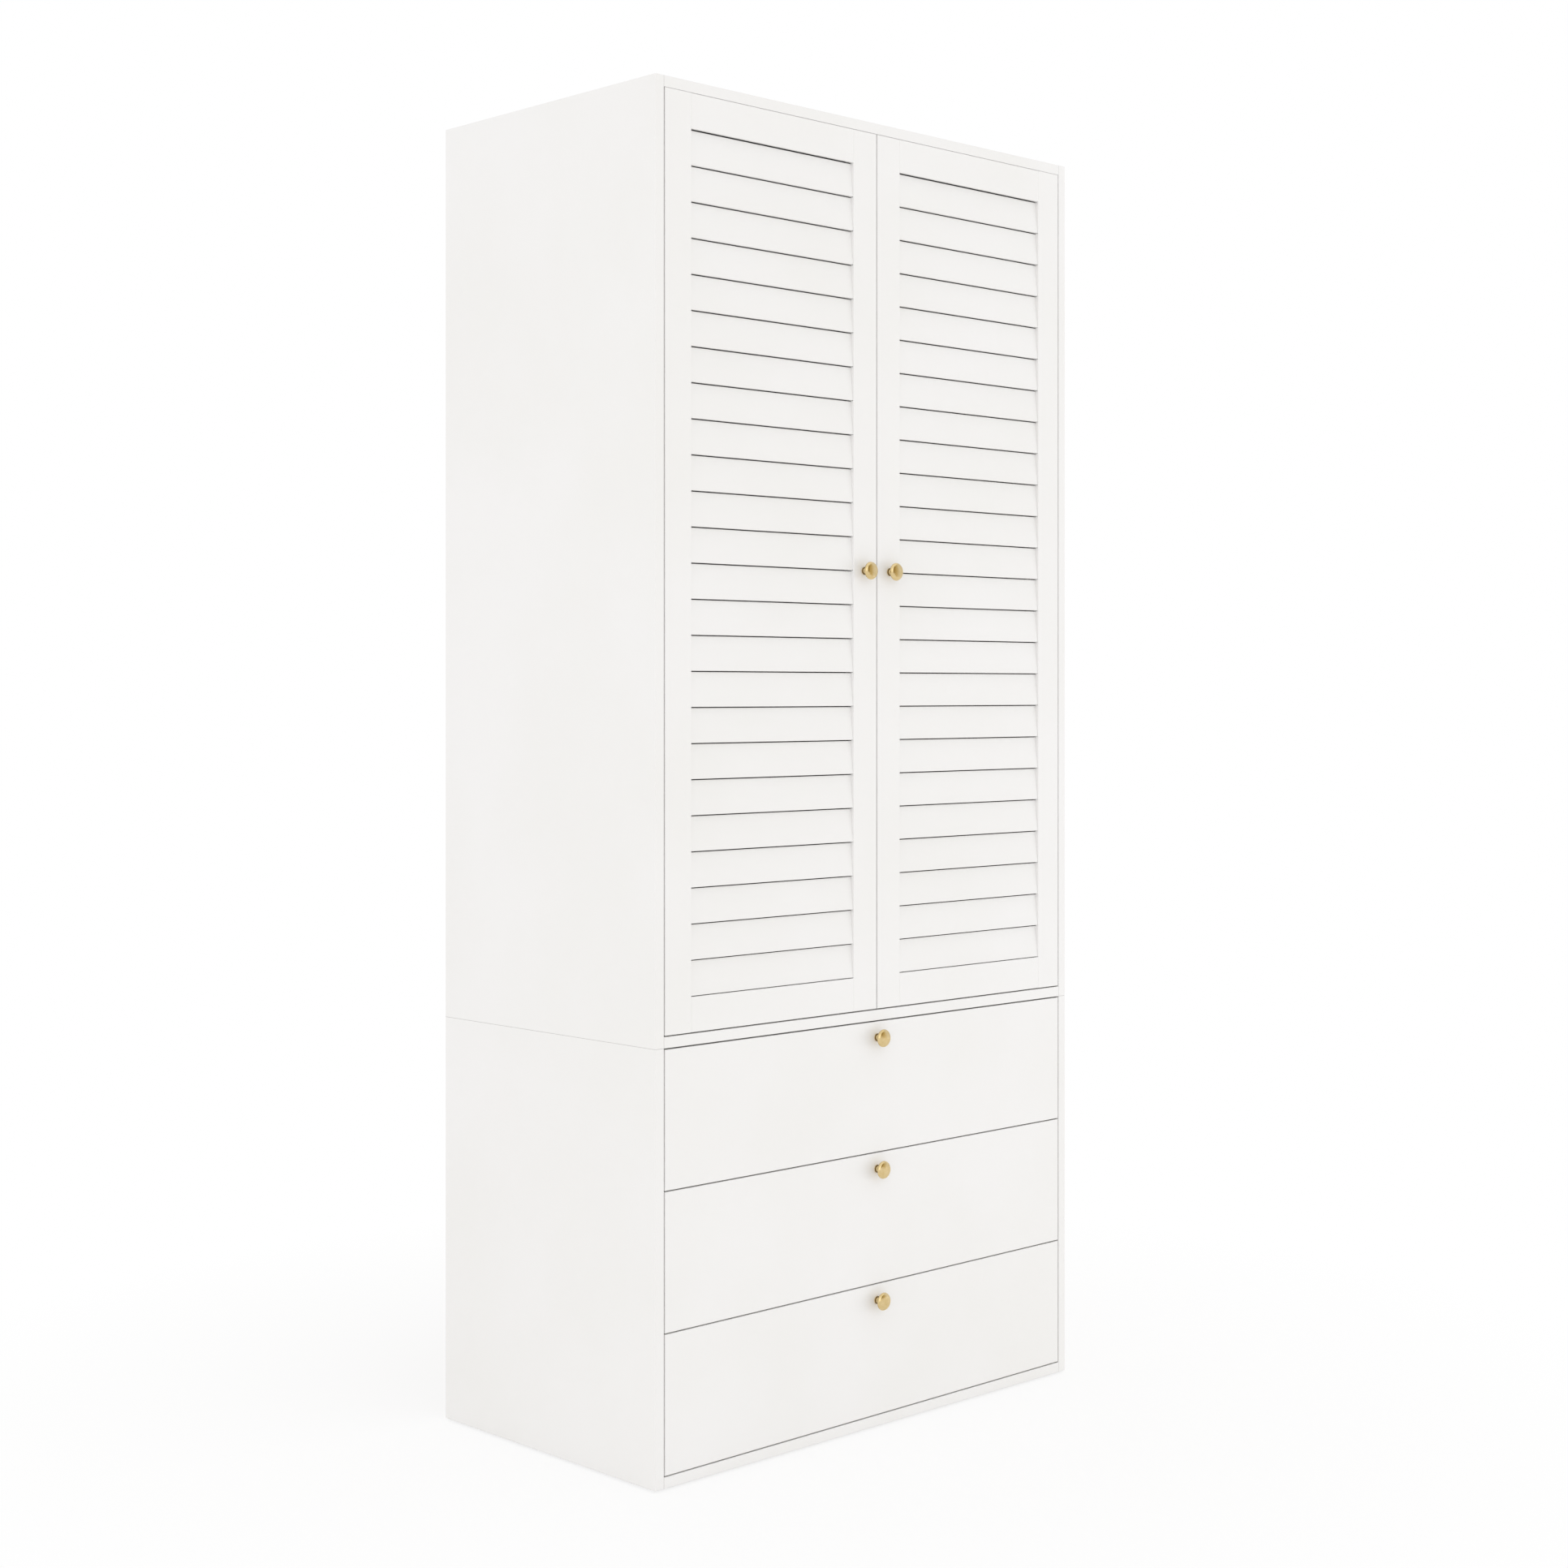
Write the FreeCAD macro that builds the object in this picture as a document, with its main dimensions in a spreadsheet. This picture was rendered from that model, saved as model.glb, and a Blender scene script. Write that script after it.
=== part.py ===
import FreeCAD, Part
import math
import os
import re
import Sketcher

# A tall cupboard in two stacked cases: louvred doors above, three drawers below.
# The front faces -Y. The origin lies at the bottom centre of everything, knobs included.

V = FreeCAD.Vector
doc = FreeCAD.newDocument("louvred_cabinet")
drawer_names = ["bottom_drawer", "middle_drawer", "top_drawer"]

# Driving sizes in millimetres, apart from the counts and the lean in degrees.
driving = [
    ("case_width", "900", "outside, across both side panels"),
    ("case_depth", "495", "outside, front edge to rear edge"),
    ("overall_height", "2000", "floor to top"),
    ("foot_lift", "3", "thickness of the glides under the floor panel"),
    ("board", "16", "case panels and shelves"),
    ("split_height", "622", "height of the lower case"),
    ("front_board", "18", "doors and drawer fronts"),
    ("reveal", "2", "gap beside, between and under the doors and drawer fronts"),
    ("door_top_gap", "0.6", "gap over the doors"),
    ("arris", "0.5", "eased edge of the visible boards"),
    ("back_board", "3", "back panels"),
    ("back_inset", "8", "case rear edge to the back panel"),
    ("back_seat", "6", "groove for the back panels, depth"),
    ("housing_depth", "5", "rebates in the side panels for the boards between them"),
    ("housing_stop", "12", "front edge to the start of a rebate"),
    ("panel_slip", "0.2", "play of a thin panel in its groove"),
    ("stile_width", "50", "upright of a door frame"),
    ("rail_height", "50.5", "crosspiece of a door frame"),
    ("tenon_length", "12", "tongue at each end of a rail"),
    ("tenon_board", "6", "tongue thickness"),
    ("tenon_shoulder", "6", "step above and below the tongue"),
    ("joint_fit", "0.1", "clearance round tongues and louvres"),
    ("facets", "8", "flat sides of small turned pieces and their holes"),
    ("hinge_arris", "0.6", "rounded front edge of the hinge stile"),
    ("rail_lip", "5", "front of the top rail's underside, before the step over the louvres"),
    ("slat_count", "24", "louvres in a door"),
    ("slat_board", "5", "louvre thickness"),
    ("slat_slit", "0.8", "see-through slit between louvres"),
    ("slat_top_gap", "1.6", "top louvre to the top rail"),
    ("slat_lean", "5.3", "degrees, lower edge forward"),
    ("slat_setback", "1.2", "louvre's lower edge behind the frame face"),
    ("slat_seat", "6", "depth of the housings in the stiles"),
    ("slat_edge", "0.3", "eased long edges of a louvre"),
    ("hinge_end", "100", "outer hinges from the door's top and bottom"),
    ("cup_radius", "17.5", "hinge cup bore"),
    ("cup_facets", "12", "flat sides of a hinge cup and its bore"),
    ("cup_edge", "22.5", "cup centre from the door's hinge edge"),
    ("cup_depth", "12", "hinge cup bore depth"),
    ("cup_wall", "0.6", "pressed cup thickness"),
    ("cup_fit", "0.1", "cup in its bore, all round"),
    ("cup_flange", "1", "flange thickness on the back of the stile"),
    ("flange_length", "62", "flange, up and down the stile"),
    ("flange_corner", "9", "cut corners of the flange"),
    ("pivot_in", "26", "hinge pivot from the door's hinge edge"),
    ("pivot_back", "9.5", "hinge pivot behind the door's face"),
    ("pin_radius", "1.4", "hinge pin"),
    ("pin_fit", "0.05", "hinge pin in the arm's eye, radial"),
    ("eye_radius", "2.4", "rolled eye at the end of the arm"),
    ("arm_sheet", "2", "hinge arm thickness"),
    ("arm_width", "12", "hinge arm, up and down"),
    ("arm_gap", "1.2", "hinge arm clear of the door's turning corner"),
    ("arm_length", "26", "part of the arm along the side panel"),
    ("plate_sheet", "3", "hinge mounting plate thickness"),
    ("plate_wing", "50", "hinge mounting plate, across its wings"),
    ("wing_depth", "14", "width of the wings"),
    ("shelf_gap", "1", "shelf clear of the case, each end and behind"),
    ("shelf_clear", "3", "shelf front behind the hinge arms"),
    ("lower_shelf_height", "304", "upper case floor to the shelf's underside"),
    ("middle_shelf_height", "608", "upper case floor to the shelf's underside"),
    ("upper_shelf_height", "976", "upper case floor to the shelf's underside"),
    ("hole_step", "32", "between shelf pin holes in a row"),
    ("hole_depth", "10", "shelf pin holes"),
    ("pin_hole_radius", "2.5", "shelf pin holes"),
    ("peg_fit", "0.05", "shelf pin in its hole, radial"),
    ("peg_length", "18", "shelf pin"),
    ("peg_inset", "40", "shelf pin rows from the shelf's front and back"),
    ("stretcher_width", "80", "stretchers across the top of the lower case"),
    ("stretcher_gap", "2", "front stretcher behind the top drawer front"),
    ("wall_rail_height", "80", "fixing rail under the top panel"),
    ("wall_hole_radius", "2.75", "holes for wall screws"),
    ("wall_hole_spacing", "600", "between the two wall screws"),
    ("bolt_radius", "3", "bolts that join the two cases"),
    ("bolt_fit", "0.1", "bolt in its hole, radial"),
    ("bolt_head_radius", "7", "low head and sleeve nut of a case bolt"),
    ("bolt_head_height", "2", "low head and sleeve nut of a case bolt"),
    ("bolt_spacing", "600", "between case bolts, left to right"),
    ("glide_radius", "15", "glides under the floor panel"),
    ("glide_inset", "45", "glide centre from the case's outside"),
    ("box_board", "12", "drawer sides and back"),
    ("box_height", "150", "drawer sides"),
    ("box_length", "450", "drawer sides and runner members"),
    ("box_rise", "20", "drawer side above the lower edge of the front"),
    ("base_board", "3", "drawer bottom"),
    ("base_rise", "12", "drawer bottom above the lower edge of the sides"),
    ("base_seat", "5", "groove for the drawer bottom, depth"),
    ("runner_space", "12.7", "drawer side to case side"),
    ("runner_height", "45", "runner, cabinet member"),
    ("runner_sheet", "1.2", "runner steel"),
    ("runner_gap", "0.35", "running gap between the members"),
    ("runner_flange", "9.5", "flange of the cabinet member"),
    ("middle_offset", "3", "middle member's web from the case side"),
    ("middle_flange", "8", "flange of the middle member"),
    ("inner_flange", "6.5", "flange of the drawer member"),
    ("runner_rise", "75", "runner centre above the drawer side's lower edge"),
    ("knob_reach", "19.5", "knob, front board to tip"),
    ("knob_radius", "13.7", "rim of the knob's head"),
    ("knob_rim", "1.6", "height of the rim"),
    ("knob_shoulder", "3.2", "bevel from the rim towards the domed face"),
    ("knob_dome", "1", "height of the domed face"),
    ("knob_dome_radius", "9", "domed face"),
    ("knob_crown_radius", "4.5", "flat at the middle of the domed face"),
    ("knob_facets", "24", "flat sides of a turned knob"),
    ("knob_flare", "4.5", "height of the hollow under the head"),
    ("knob_throat_radius", "6.4", "where the hollow under the head starts"),
    ("knob_neck_radius", "3.8", "thinnest part"),
    ("knob_neck_at", "4.5", "thinnest part from the front board"),
    ("knob_base_radius", "6.2", "foot of the knob"),
    ("knob_base_height", "1.4", "foot of the knob"),
    ("knob_drop", "24", "knob below the top edge of a drawer front"),
    ("knob_inset", "27", "knob from the door's meeting edge"),
    ("screw_radius", "2", "knob screw"),
    ("screw_fit", "0.05", "knob screw in the knob, radial"),
    ("screw_clear", "0.3", "knob screw in the front board, radial"),
    ("screw_grip", "9", "knob screw's length in the knob"),
    ("screw_head_radius", "4.2", "knob screw head"),
    ("screw_head_height", "2.4", "knob screw head"),
]

# Lengths that follow from the driving sizes. Depths run back from the front plane.
worked = [
    ("drawer_count", str(len(drawer_names))),
    ("half_case", "=case_width / 2"),
    ("inner_half", "=half_case - board"),
    ("front_plane", "=-(case_depth - knob_reach) / 2"),
    ("seam", "=foot_lift + split_height"),
    ("upper_floor", "=seam + board"),
    ("ceiling", "=overall_height - board"),
    ("back_face", "=case_depth - back_inset - back_board"),
    ("door_bottom", "=upper_floor + reveal"),
    ("door_height", "=ceiling - door_top_gap - door_bottom"),
    ("door_width", "=inner_half - 1.5 * reveal"),
    ("door_left", "=reveal - inner_half"),
    ("slat_run", "=door_width - 2 * stile_width"),
    ("slat_field", "=door_height - 2 * rail_height"),
    ("slat_pitch", "=(slat_field - slat_top_gap) / slat_count"),
    ("slat_drop", "=slat_board * sin(slat_lean)"),
    ("slat_width", "=(slat_pitch - slat_slit - slat_drop) / cos(slat_lean)"),
    ("hinge_step", "=(door_height - 2 * hinge_end) / 2"),
    ("corner_sweep", "=sqrt(pivot_in ^ 2 + (front_board - pivot_back) ^ 2)"),
    ("arm_reach", "=corner_sweep + arm_gap + arm_sheet / 2"),
    ("shelf_front", "=pivot_back + arm_reach + arm_length + shelf_clear"),
    ("shelf_depth", "=back_face - shelf_gap - shelf_front"),
    ("drawer_step", "=(seam - foot_lift - board - reveal) / drawer_count"),
    ("drawer_face", "=drawer_step - reveal"),
    ("first_drawer", "=foot_lift + board + reveal"),
    ("box_half", "=inner_half - runner_space"),
    ("base_half", "=box_half - box_board + base_seat"),
    ("middle_height", "=runner_height - 2 * runner_sheet - 2 * runner_gap"),
    ("inner_height", "=middle_height - 2 * runner_sheet - 2 * runner_gap"),
    ("knob_face_at", "=knob_reach - knob_dome"),
    ("knob_rim_at", "=knob_face_at - knob_shoulder - knob_rim"),
]

homes = {}


def fillSheet(name, rows):
    """A spreadsheet with one named value to a row."""
    sheet = doc.addObject("Spreadsheet::Sheet", name)
    for number, row in enumerate(rows, 1):
        homes[row[0]] = name
    for number, row in enumerate(rows, 1):
        sheet.set("A%d" % number, row[0])
        sheet.set("B%d" % number, full(row[1]))
        sheet.setAlias("B%d" % number, row[0])
        if len(row) > 2:
            sheet.set("C%d" % number, row[2])
    doc.recompute()
    return sheet


def full(text):
    """An expression with each named value led by its sheet's name."""
    return re.sub("[a-z_]+", lambda word: qualified(word.group()), text)


def qualified(word):
    if word in homes:
        return homes[word] + "." + word
    return word


sizes = fillSheet("sizes", driving)
places = fillSheet("places", worked)
nodes = []


def value(text):
    return float(sizes.evalExpression(full(text)))


def bind(thing, name, text):
    thing.setExpression(name, full(text))


def bodyAt(label, x, y, z):
    """An empty body whose own origin stands at x, y, z."""
    body = doc.addObject("PartDesign::Body", label)
    bind(body, "Placement.Base.x", x)
    bind(body, "Placement.Base.y", y)
    bind(body, "Placement.Base.z", z)
    return body


def originPart(body, role):
    return [part for part in body.Origin.OriginFeatures if part.Role == role][0]


def drawOn(body, plane, offset="0"):
    """A sketch on one of the body's own planes, moved along its normal."""
    drawing = body.newObject("Sketcher::SketchObject", "Sketch")
    drawing.AttachmentSupport = [(originPart(body, plane), "")]
    drawing.MapMode = "FlatFace"
    bind(drawing, "AttachmentOffset.Base.z", offset)
    return drawing


def pin(drawing, item, end, point):
    """Hold one end of a line, or a centre, at a pair of expressions."""
    for kind, text in zip(("DistanceX", "DistanceY"), point):
        number = drawing.addConstraint(
            Sketcher.Constraint(kind, -1, 1, item, end, value(text))
        )
        bind(drawing, "Constraints[%d]" % number, text)


def holdRadius(drawing, item, text):
    number = drawing.addConstraint(Sketcher.Constraint("Radius", item, value(text)))
    bind(drawing, "Constraints[%d]" % number, text)


def outline(drawing, points, closed=True):
    """Straight runs through pairs of expressions."""
    spots = [V(value(point[0]), value(point[1]), 0) for point in points]
    first = drawing.GeometryCount
    count = len(points)
    lines = count if closed else count - 1
    for number in range(lines):
        drawing.addGeometry(Part.LineSegment(spots[number], spots[(number + 1) % count]), False)
    for number in range(lines):
        pin(drawing, first + number, 1, points[number])
        if closed or number + 1 < lines:
            after = first + (number + 1) % lines
            drawing.addConstraint(Sketcher.Constraint("Coincident", first + number, 2, after, 1))
    if not closed:
        pin(drawing, first + lines - 1, 2, points[-1])


def rectangle(drawing, x, y, width, height):
    right = "%s + %s" % (x, width)
    top = "%s + %s" % (y, height)
    outline(drawing, [(x, y), (right, y), (right, top), (x, top)])


def circle(drawing, x, y, radius):
    centre = V(value(x), value(y), 0)
    item = drawing.addGeometry(Part.Circle(centre, V(0, 0, 1), value(radius)), False)
    holdRadius(drawing, item, radius)
    pin(drawing, item, 3, (x, y))


def faceted(drawing, x, y, radius, sides="facets"):
    """A regular outline whose flat sides lie at the radius."""
    count = round(value(sides))
    points = []
    for number in range(count):
        turn = "((%d + 0.5) * 360 / %d)" % (number, count)
        reach = "(%s) / cos(180 / %d)" % (radius, count)
        spot = ("%s + %s * cos%s" % (x, reach, turn), "%s + %s * sin%s" % (y, reach, turn))
        points.append(spot)
    outline(drawing, points)


def finish(body, feature):
    """Recompute, and stop if the feature has no valid shape."""
    body.Tip = feature
    doc.recompute()
    if "Invalid" in feature.State or feature.Shape.isNull():
        raise RuntimeError("%s: %s failed" % (body.Label, feature.Label))
    return feature


def pad(body, drawing, length, reverse=False):
    """Add material from a sketch along its normal, or against it."""
    feature = body.newObject("PartDesign::Pad", "Pad")
    feature.Profile = drawing
    feature.Reversed = reverse
    bind(feature, "Length", length)
    return finish(body, feature)


def pocket(body, drawing, length, reverse=True):
    """Cut from a sketch along its normal, or against it with reverse off."""
    before = body.Shape.Volume
    feature = body.newObject("PartDesign::Pocket", "Pocket")
    feature.Profile = drawing
    feature.Reversed = reverse
    bind(feature, "Length", length)
    finish(body, feature)
    if feature.Shape.Volume >= before:
        raise RuntimeError("%s: a pocket cuts nothing" % body.Label)
    return feature


def board(label, x, y, z, width, depth, height):
    """A rectangular board from its left, front and lower corner."""
    body = bodyAt(label, x, y, z)
    drawing = drawOn(body, "XY_Plane")
    rectangle(drawing, "0", "0", width, depth)
    pad(body, drawing, height)
    return body


def block(body, x, y, z, width, depth, height):
    """More material in the shape of a box."""
    drawing = drawOn(body, "XY_Plane", z)
    rectangle(drawing, x, y, width, depth)
    return pad(body, drawing, height)


def slot(body, x, y, z, width, depth, height):
    """A cut in the shape of a box."""
    drawing = drawOn(body, "XY_Plane", z)
    rectangle(drawing, x, y, width, depth)
    return pocket(body, drawing, height)


def drill(body, plane, offset, u, v, radius, depth, reverse=True, sides="facets"):
    """A hole from a plane of the body, round where sides is None."""
    drawing = drawOn(body, plane, offset)
    if sides:
        faceted(drawing, u, v, radius, sides)
    else:
        circle(drawing, u, v, radius)
    return pocket(body, drawing, depth, reverse)


def row(body, axis, count, step):
    pattern = body.newObject("PartDesign::LinearPattern", "Row")
    pattern.Direction = (originPart(body, axis), [""])
    pattern.Mode = "Spacing"
    bind(pattern, "Occurrences", count)
    bind(pattern, "Offset", step)
    return pattern


def repeat(body, feature, axis, count, step, axis2=None, step2=None):
    """A row of copies of a feature, or of the whole body where that is None. With a second
    axis the row is doubled along it."""
    pattern = row(body, axis, count, step)
    if axis2:
        rows = [pattern, row(body, axis2, "2", step2)]
        pattern = body.newObject("PartDesign::MultiTransform", "Grid")
    if feature is None:
        pattern.TransformMode = "Whole shape"
    else:
        pattern.Originals = [feature]
    if axis2:
        pattern.Transformations = rows
    return finish(body, pattern)


def ease(body, wanted):
    """Break the sharp edges that wanted picks."""
    base = body.Tip
    names = [
        "Edge%d" % number
        for number, edge in enumerate(base.Shape.Edges, 1)
        if wanted(edge.BoundBox)
    ]
    feature = body.newObject("PartDesign::Chamfer", "Arris")
    feature.Base = (base, names)
    bind(feature, "Size", "arris")
    return finish(body, feature)


def onFront(box):
    return box.YMax < 0.001


def keep(thing, label=None):
    """Count a finished object among the sub-parts."""
    if label:
        thing.Label = label
    nodes.append(thing)
    return thing


def mirrored(source, label):
    """The same piece on the other side of the cabinet."""
    copy = doc.addObject("Part::Mirroring", label)
    copy.Source = source
    copy.Normal = V(1, 0, 0)
    return copy


def together(label, pieces):
    group = doc.addObject("Part::Compound", label)
    group.Links = pieces
    return group


# Case panels


def sidePanel(label, z, height, groove_end):
    """A left side panel, eased where it shows and grooved for the back panel."""
    side = board(label, "-half_case", "front_plane", z, "board", "case_depth", height)
    ease(side, lambda box: onFront(box) or box.XMax < 0.001)
    slot(
        side, "board - back_seat", "back_face", "board - back_seat", "back_seat + 1",
        "back_board + panel_slip", groove_end + " - board + back_seat",
    )
    return side


def rebate(side, start, z):
    """A step along the inner face for the end of a board, run out at the rear."""
    slot(
        side, "board - housing_depth", start, z, "housing_depth + 1",
        "case_depth + 1 - (%s)" % start, "board + joint_fit + 1",
    )


upper_side = sidePanel(
    "upper_left_side", "seam", "overall_height - seam", "(ceiling - seam + back_seat)"
)
rebate(upper_side, "housing_stop", "-1")
rebate(upper_side, "housing_stop", "ceiling - seam - joint_fit")
for shelf in ("lower", "middle", "upper"):
    rest = "board + %s_shelf_height - pin_hole_radius + peg_fit" % shelf
    hole = drill(
        upper_side, "YZ_Plane", "board - hole_depth", "shelf_front + peg_inset",
        rest + " - hole_step", "pin_hole_radius", "hole_depth",
    )
    repeat(
        upper_side, hole, "Z_Axis", "3", "hole_step", "Y_Axis", "shelf_depth - 2 * peg_inset"
    )
keep(upper_side)
keep(mirrored(upper_side, "upper_right_side"))

lower_side = sidePanel("lower_left_side", "foot_lift", "split_height", "(split_height + 1)")
rebate(lower_side, "housing_stop", "-1")
rebate(
    lower_side, "front_board + stretcher_gap - joint_fit", "split_height - board - joint_fit"
)
keep(lower_side)
keep(mirrored(lower_side, "lower_right_side"))


def tongues(panel, start, depth):
    """The ends of a board, run on into the rebates of the side panels."""
    reach = "(housing_depth - joint_fit)"
    block(
        panel, "-" + reach, start, "0", "2 * (inner_half + %s)" % reach, depth, "board"
    )


def crossPanel(label, z):
    """A full-depth board between the side panels."""
    panel = board(
        label, "-inner_half", "front_plane", z, "2 * inner_half", "case_depth", "board"
    )
    ease(panel, onFront)
    start = "(housing_stop + joint_fit)"
    tongues(panel, start, "case_depth - " + start)
    return panel


def backGroove(panel, z):
    slot(
        panel, "-housing_depth", "back_face", z, "2 * (inner_half + housing_depth)",
        "back_board + panel_slip", "back_seat + 1",
    )


def boltHoles(panel, x, y, count, step):
    """Through holes for the bolts that join the cases."""
    hole = drill(panel, "XY_Plane", "0", x, y, "bolt_radius + bolt_fit", "board")
    if count == "1":
        repeat(panel, hole, "X_Axis", "2", "bolt_spacing")
    else:
        repeat(panel, hole, "X_Axis", "2", "bolt_spacing", "Y_Axis", step)


front_bolt = "front_board + stretcher_gap + stretcher_width / 2"
bolt_depth = "back_face - stretcher_width - front_board - stretcher_gap"
bolt_side = "inner_half - bolt_spacing / 2"

top_panel = crossPanel("top_panel", "ceiling")
backGroove(top_panel, "-1")
keep(top_panel)

divider = crossPanel("divider_panel", "seam")
backGroove(divider, "board - back_seat")
boltHoles(divider, bolt_side, front_bolt, "2", bolt_depth)
keep(divider)

floor_panel = crossPanel("floor_panel", "foot_lift")
backGroove(floor_panel, "board - back_seat")
keep(floor_panel)


def stretcher(label, depth):
    """A flat rail across the top of the lower case."""
    rail = board(
        label, "-inner_half", "front_plane + " + depth, "seam - board",
        "2 * inner_half", "stretcher_width", "board",
    )
    tongues(rail, "0", "stretcher_width")
    boltHoles(rail, bolt_side, "stretcher_width / 2", "1", "0")
    keep(rail)


stretcher("front_stretcher", "front_board + stretcher_gap")
stretcher("rear_stretcher", "back_face - stretcher_width")

back_side = "inner_half + back_seat - panel_slip"
upper_back = board(
    "upper_back_panel", "-(" + back_side + ")", "front_plane + back_face",
    "upper_floor - back_seat + panel_slip", "2 * (" + back_side + ")", "back_board",
    "ceiling - upper_floor + 2 * (back_seat - panel_slip)",
)
wall_rail = board(
    "wall_rail", "-inner_half", "front_plane + back_face - board",
    "ceiling - wall_rail_height", "2 * inner_half", "board", "wall_rail_height",
)
wall_hole = "ceiling - wall_rail_height / 2 - upper_floor + back_seat - panel_slip"
for panel, side, height, thickness in (
    (upper_back, back_side, wall_hole, "back_board"),
    (wall_rail, "inner_half", "wall_rail_height / 2", "board"),
):
    hole = drill(
        panel, "XZ_Plane", "0", side + " - wall_hole_spacing / 2", height,
        "wall_hole_radius", thickness, False, None,
    )
    repeat(panel, hole, "X_Axis", "2", "wall_hole_spacing")
    keep(panel)
keep(
    board(
        "lower_back_panel", "-(" + back_side + ")", "front_plane + back_face",
        "foot_lift + board - back_seat + panel_slip", "2 * (" + back_side + ")", "back_board",
        "split_height - board + back_seat - panel_slip",
    )
)

# Shelves and what carries them

for shelf in ("lower", "middle", "upper"):
    piece = board(
        shelf + "_shelf", "shelf_gap - inner_half", "front_plane + shelf_front",
        "upper_floor + %s_shelf_height" % shelf, "2 * (inner_half - shelf_gap)",
        "shelf_depth", "board",
    )
    ease(piece, onFront)
    keep(piece)


def shelfPegs():
    """Twelve pegs, a row of two on each side under each shelf."""
    rows = []
    for shelf in ("lower", "middle", "upper"):
        pegs = bodyAt(
            shelf + "_shelf_pegs", "-inner_half - hole_depth",
            "front_plane + shelf_front + peg_inset",
            "upper_floor + %s_shelf_height - pin_hole_radius + peg_fit" % shelf,
        )
        drawing = drawOn(pegs, "YZ_Plane")
        faceted(drawing, "0", "0", "pin_hole_radius - peg_fit")
        peg = pad(pegs, drawing, "peg_length")
        repeat(
            pegs, peg, "Y_Axis", "2", "shelf_depth - 2 * peg_inset", "X_Axis",
            "2 * (inner_half + hole_depth) - peg_length",
        )
        rows.append(pegs)
    return together("shelf_pins", rows)


keep(shelfPegs())

glides = bodyAt("floor_glides", "glide_inset - half_case", "front_plane + glide_inset", "0")
drawing = drawOn(glides, "XY_Plane")
faceted(drawing, "0", "0", "glide_radius")
glide = pad(glides, drawing, "foot_lift")
repeat(
    glides, glide, "X_Axis", "3", "half_case - glide_inset", "Y_Axis",
    "case_depth - 2 * glide_inset",
)
keep(glides)

# Fittings that join the case

bolts = bodyAt("case_bolts", "-bolt_spacing / 2", "front_plane + " + front_bolt, "seam - board")
for offset, radius, height in (
    ("-bolt_head_height", "bolt_head_radius", "bolt_head_height"),
    ("0", "bolt_radius", "2 * board"),
    ("2 * board", "bolt_head_radius", "bolt_head_height"),
):
    drawing = drawOn(bolts, "XY_Plane", offset)
    faceted(drawing, "0", "0", radius)
    pad(bolts, drawing, height)
repeat(bolts, None, "X_Axis", "2", "bolt_spacing", "Y_Axis", bolt_depth)
keep(bolts)

# Hinges: the pin turns with the door in a cup, round an eye on the case's arm


def hingeArms():
    """Cranked strips from the side panel, over the door's turning corner, to the pins."""
    arms = bodyAt(
        "left_hinge_arms", "door_left + pivot_in", "front_plane + pivot_back",
        "door_bottom + hinge_end",
    )
    side = "plate_sheet + arm_sheet / 2 - pivot_in - reveal"
    path = drawOn(arms, "XY_Plane")
    outline(
        path,
        [
            (side, "arm_reach + arm_length"),
            (side, "arm_reach"),
            ("arm_reach / 2", "arm_reach"),
            ("arm_reach * cos(45)", "arm_reach * cos(45)"),
            ("eye_radius * cos(45)", "eye_radius * cos(45)"),
        ],
        closed=False,
    )
    section = drawOn(arms, "XZ_Plane", "-(arm_reach + arm_length)")
    rectangle(section, side + " - arm_sheet / 2", "-arm_width / 2", "arm_sheet", "arm_width")
    strip = arms.newObject("PartDesign::AdditivePipe", "Strip")
    strip.Profile = section
    strip.Spine = (path, [])
    strip.Transition = "Right corner"
    finish(arms, strip)
    drawing = drawOn(arms, "XY_Plane", "-arm_width / 2")
    faceted(drawing, "0", "0", "eye_radius")
    pad(arms, drawing, "arm_width")
    drill(
        arms, "XY_Plane", "-arm_width / 2", "0", "0", "pin_radius + pin_fit", "arm_width"
    )
    repeat(arms, None, "Z_Axis", "3", "hinge_step")
    return arms


def hingePlates():
    """Cross-shaped plates screwed to the side panel under the arms."""
    plates = bodyAt(
        "left_hinge_plates", "-inner_half", "front_plane + pivot_back + arm_reach",
        "door_bottom + hinge_end",
    )
    near = "(arm_length - wing_depth) / 2"
    far = "(arm_length + wing_depth) / 2"
    body_up = "arm_width / 2 + plate_sheet"
    wing_up = "plate_wing / 2"
    drawing = drawOn(plates, "YZ_Plane")
    outline(
        drawing,
        [
            ("0", "-(" + body_up + ")"), (near, "-(" + body_up + ")"), (near, "-" + wing_up),
            (far, "-" + wing_up), (far, "-(" + body_up + ")"), ("arm_length", "-(" + body_up + ")"),
            ("arm_length", body_up), (far, body_up), (far, wing_up),
            (near, wing_up), (near, body_up), ("0", body_up),
        ],
    )
    pad(plates, drawing, "plate_sheet")
    repeat(plates, None, "Z_Axis", "3", "hinge_step")
    return plates


left_arms = hingeArms()
keep(together("hinge_arms", [left_arms, mirrored(left_arms, "right_hinge_arms")]))
left_plates = hingePlates()
keep(together("hinge_plates", [left_plates, mirrored(left_plates, "right_hinge_plates")]))


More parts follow.
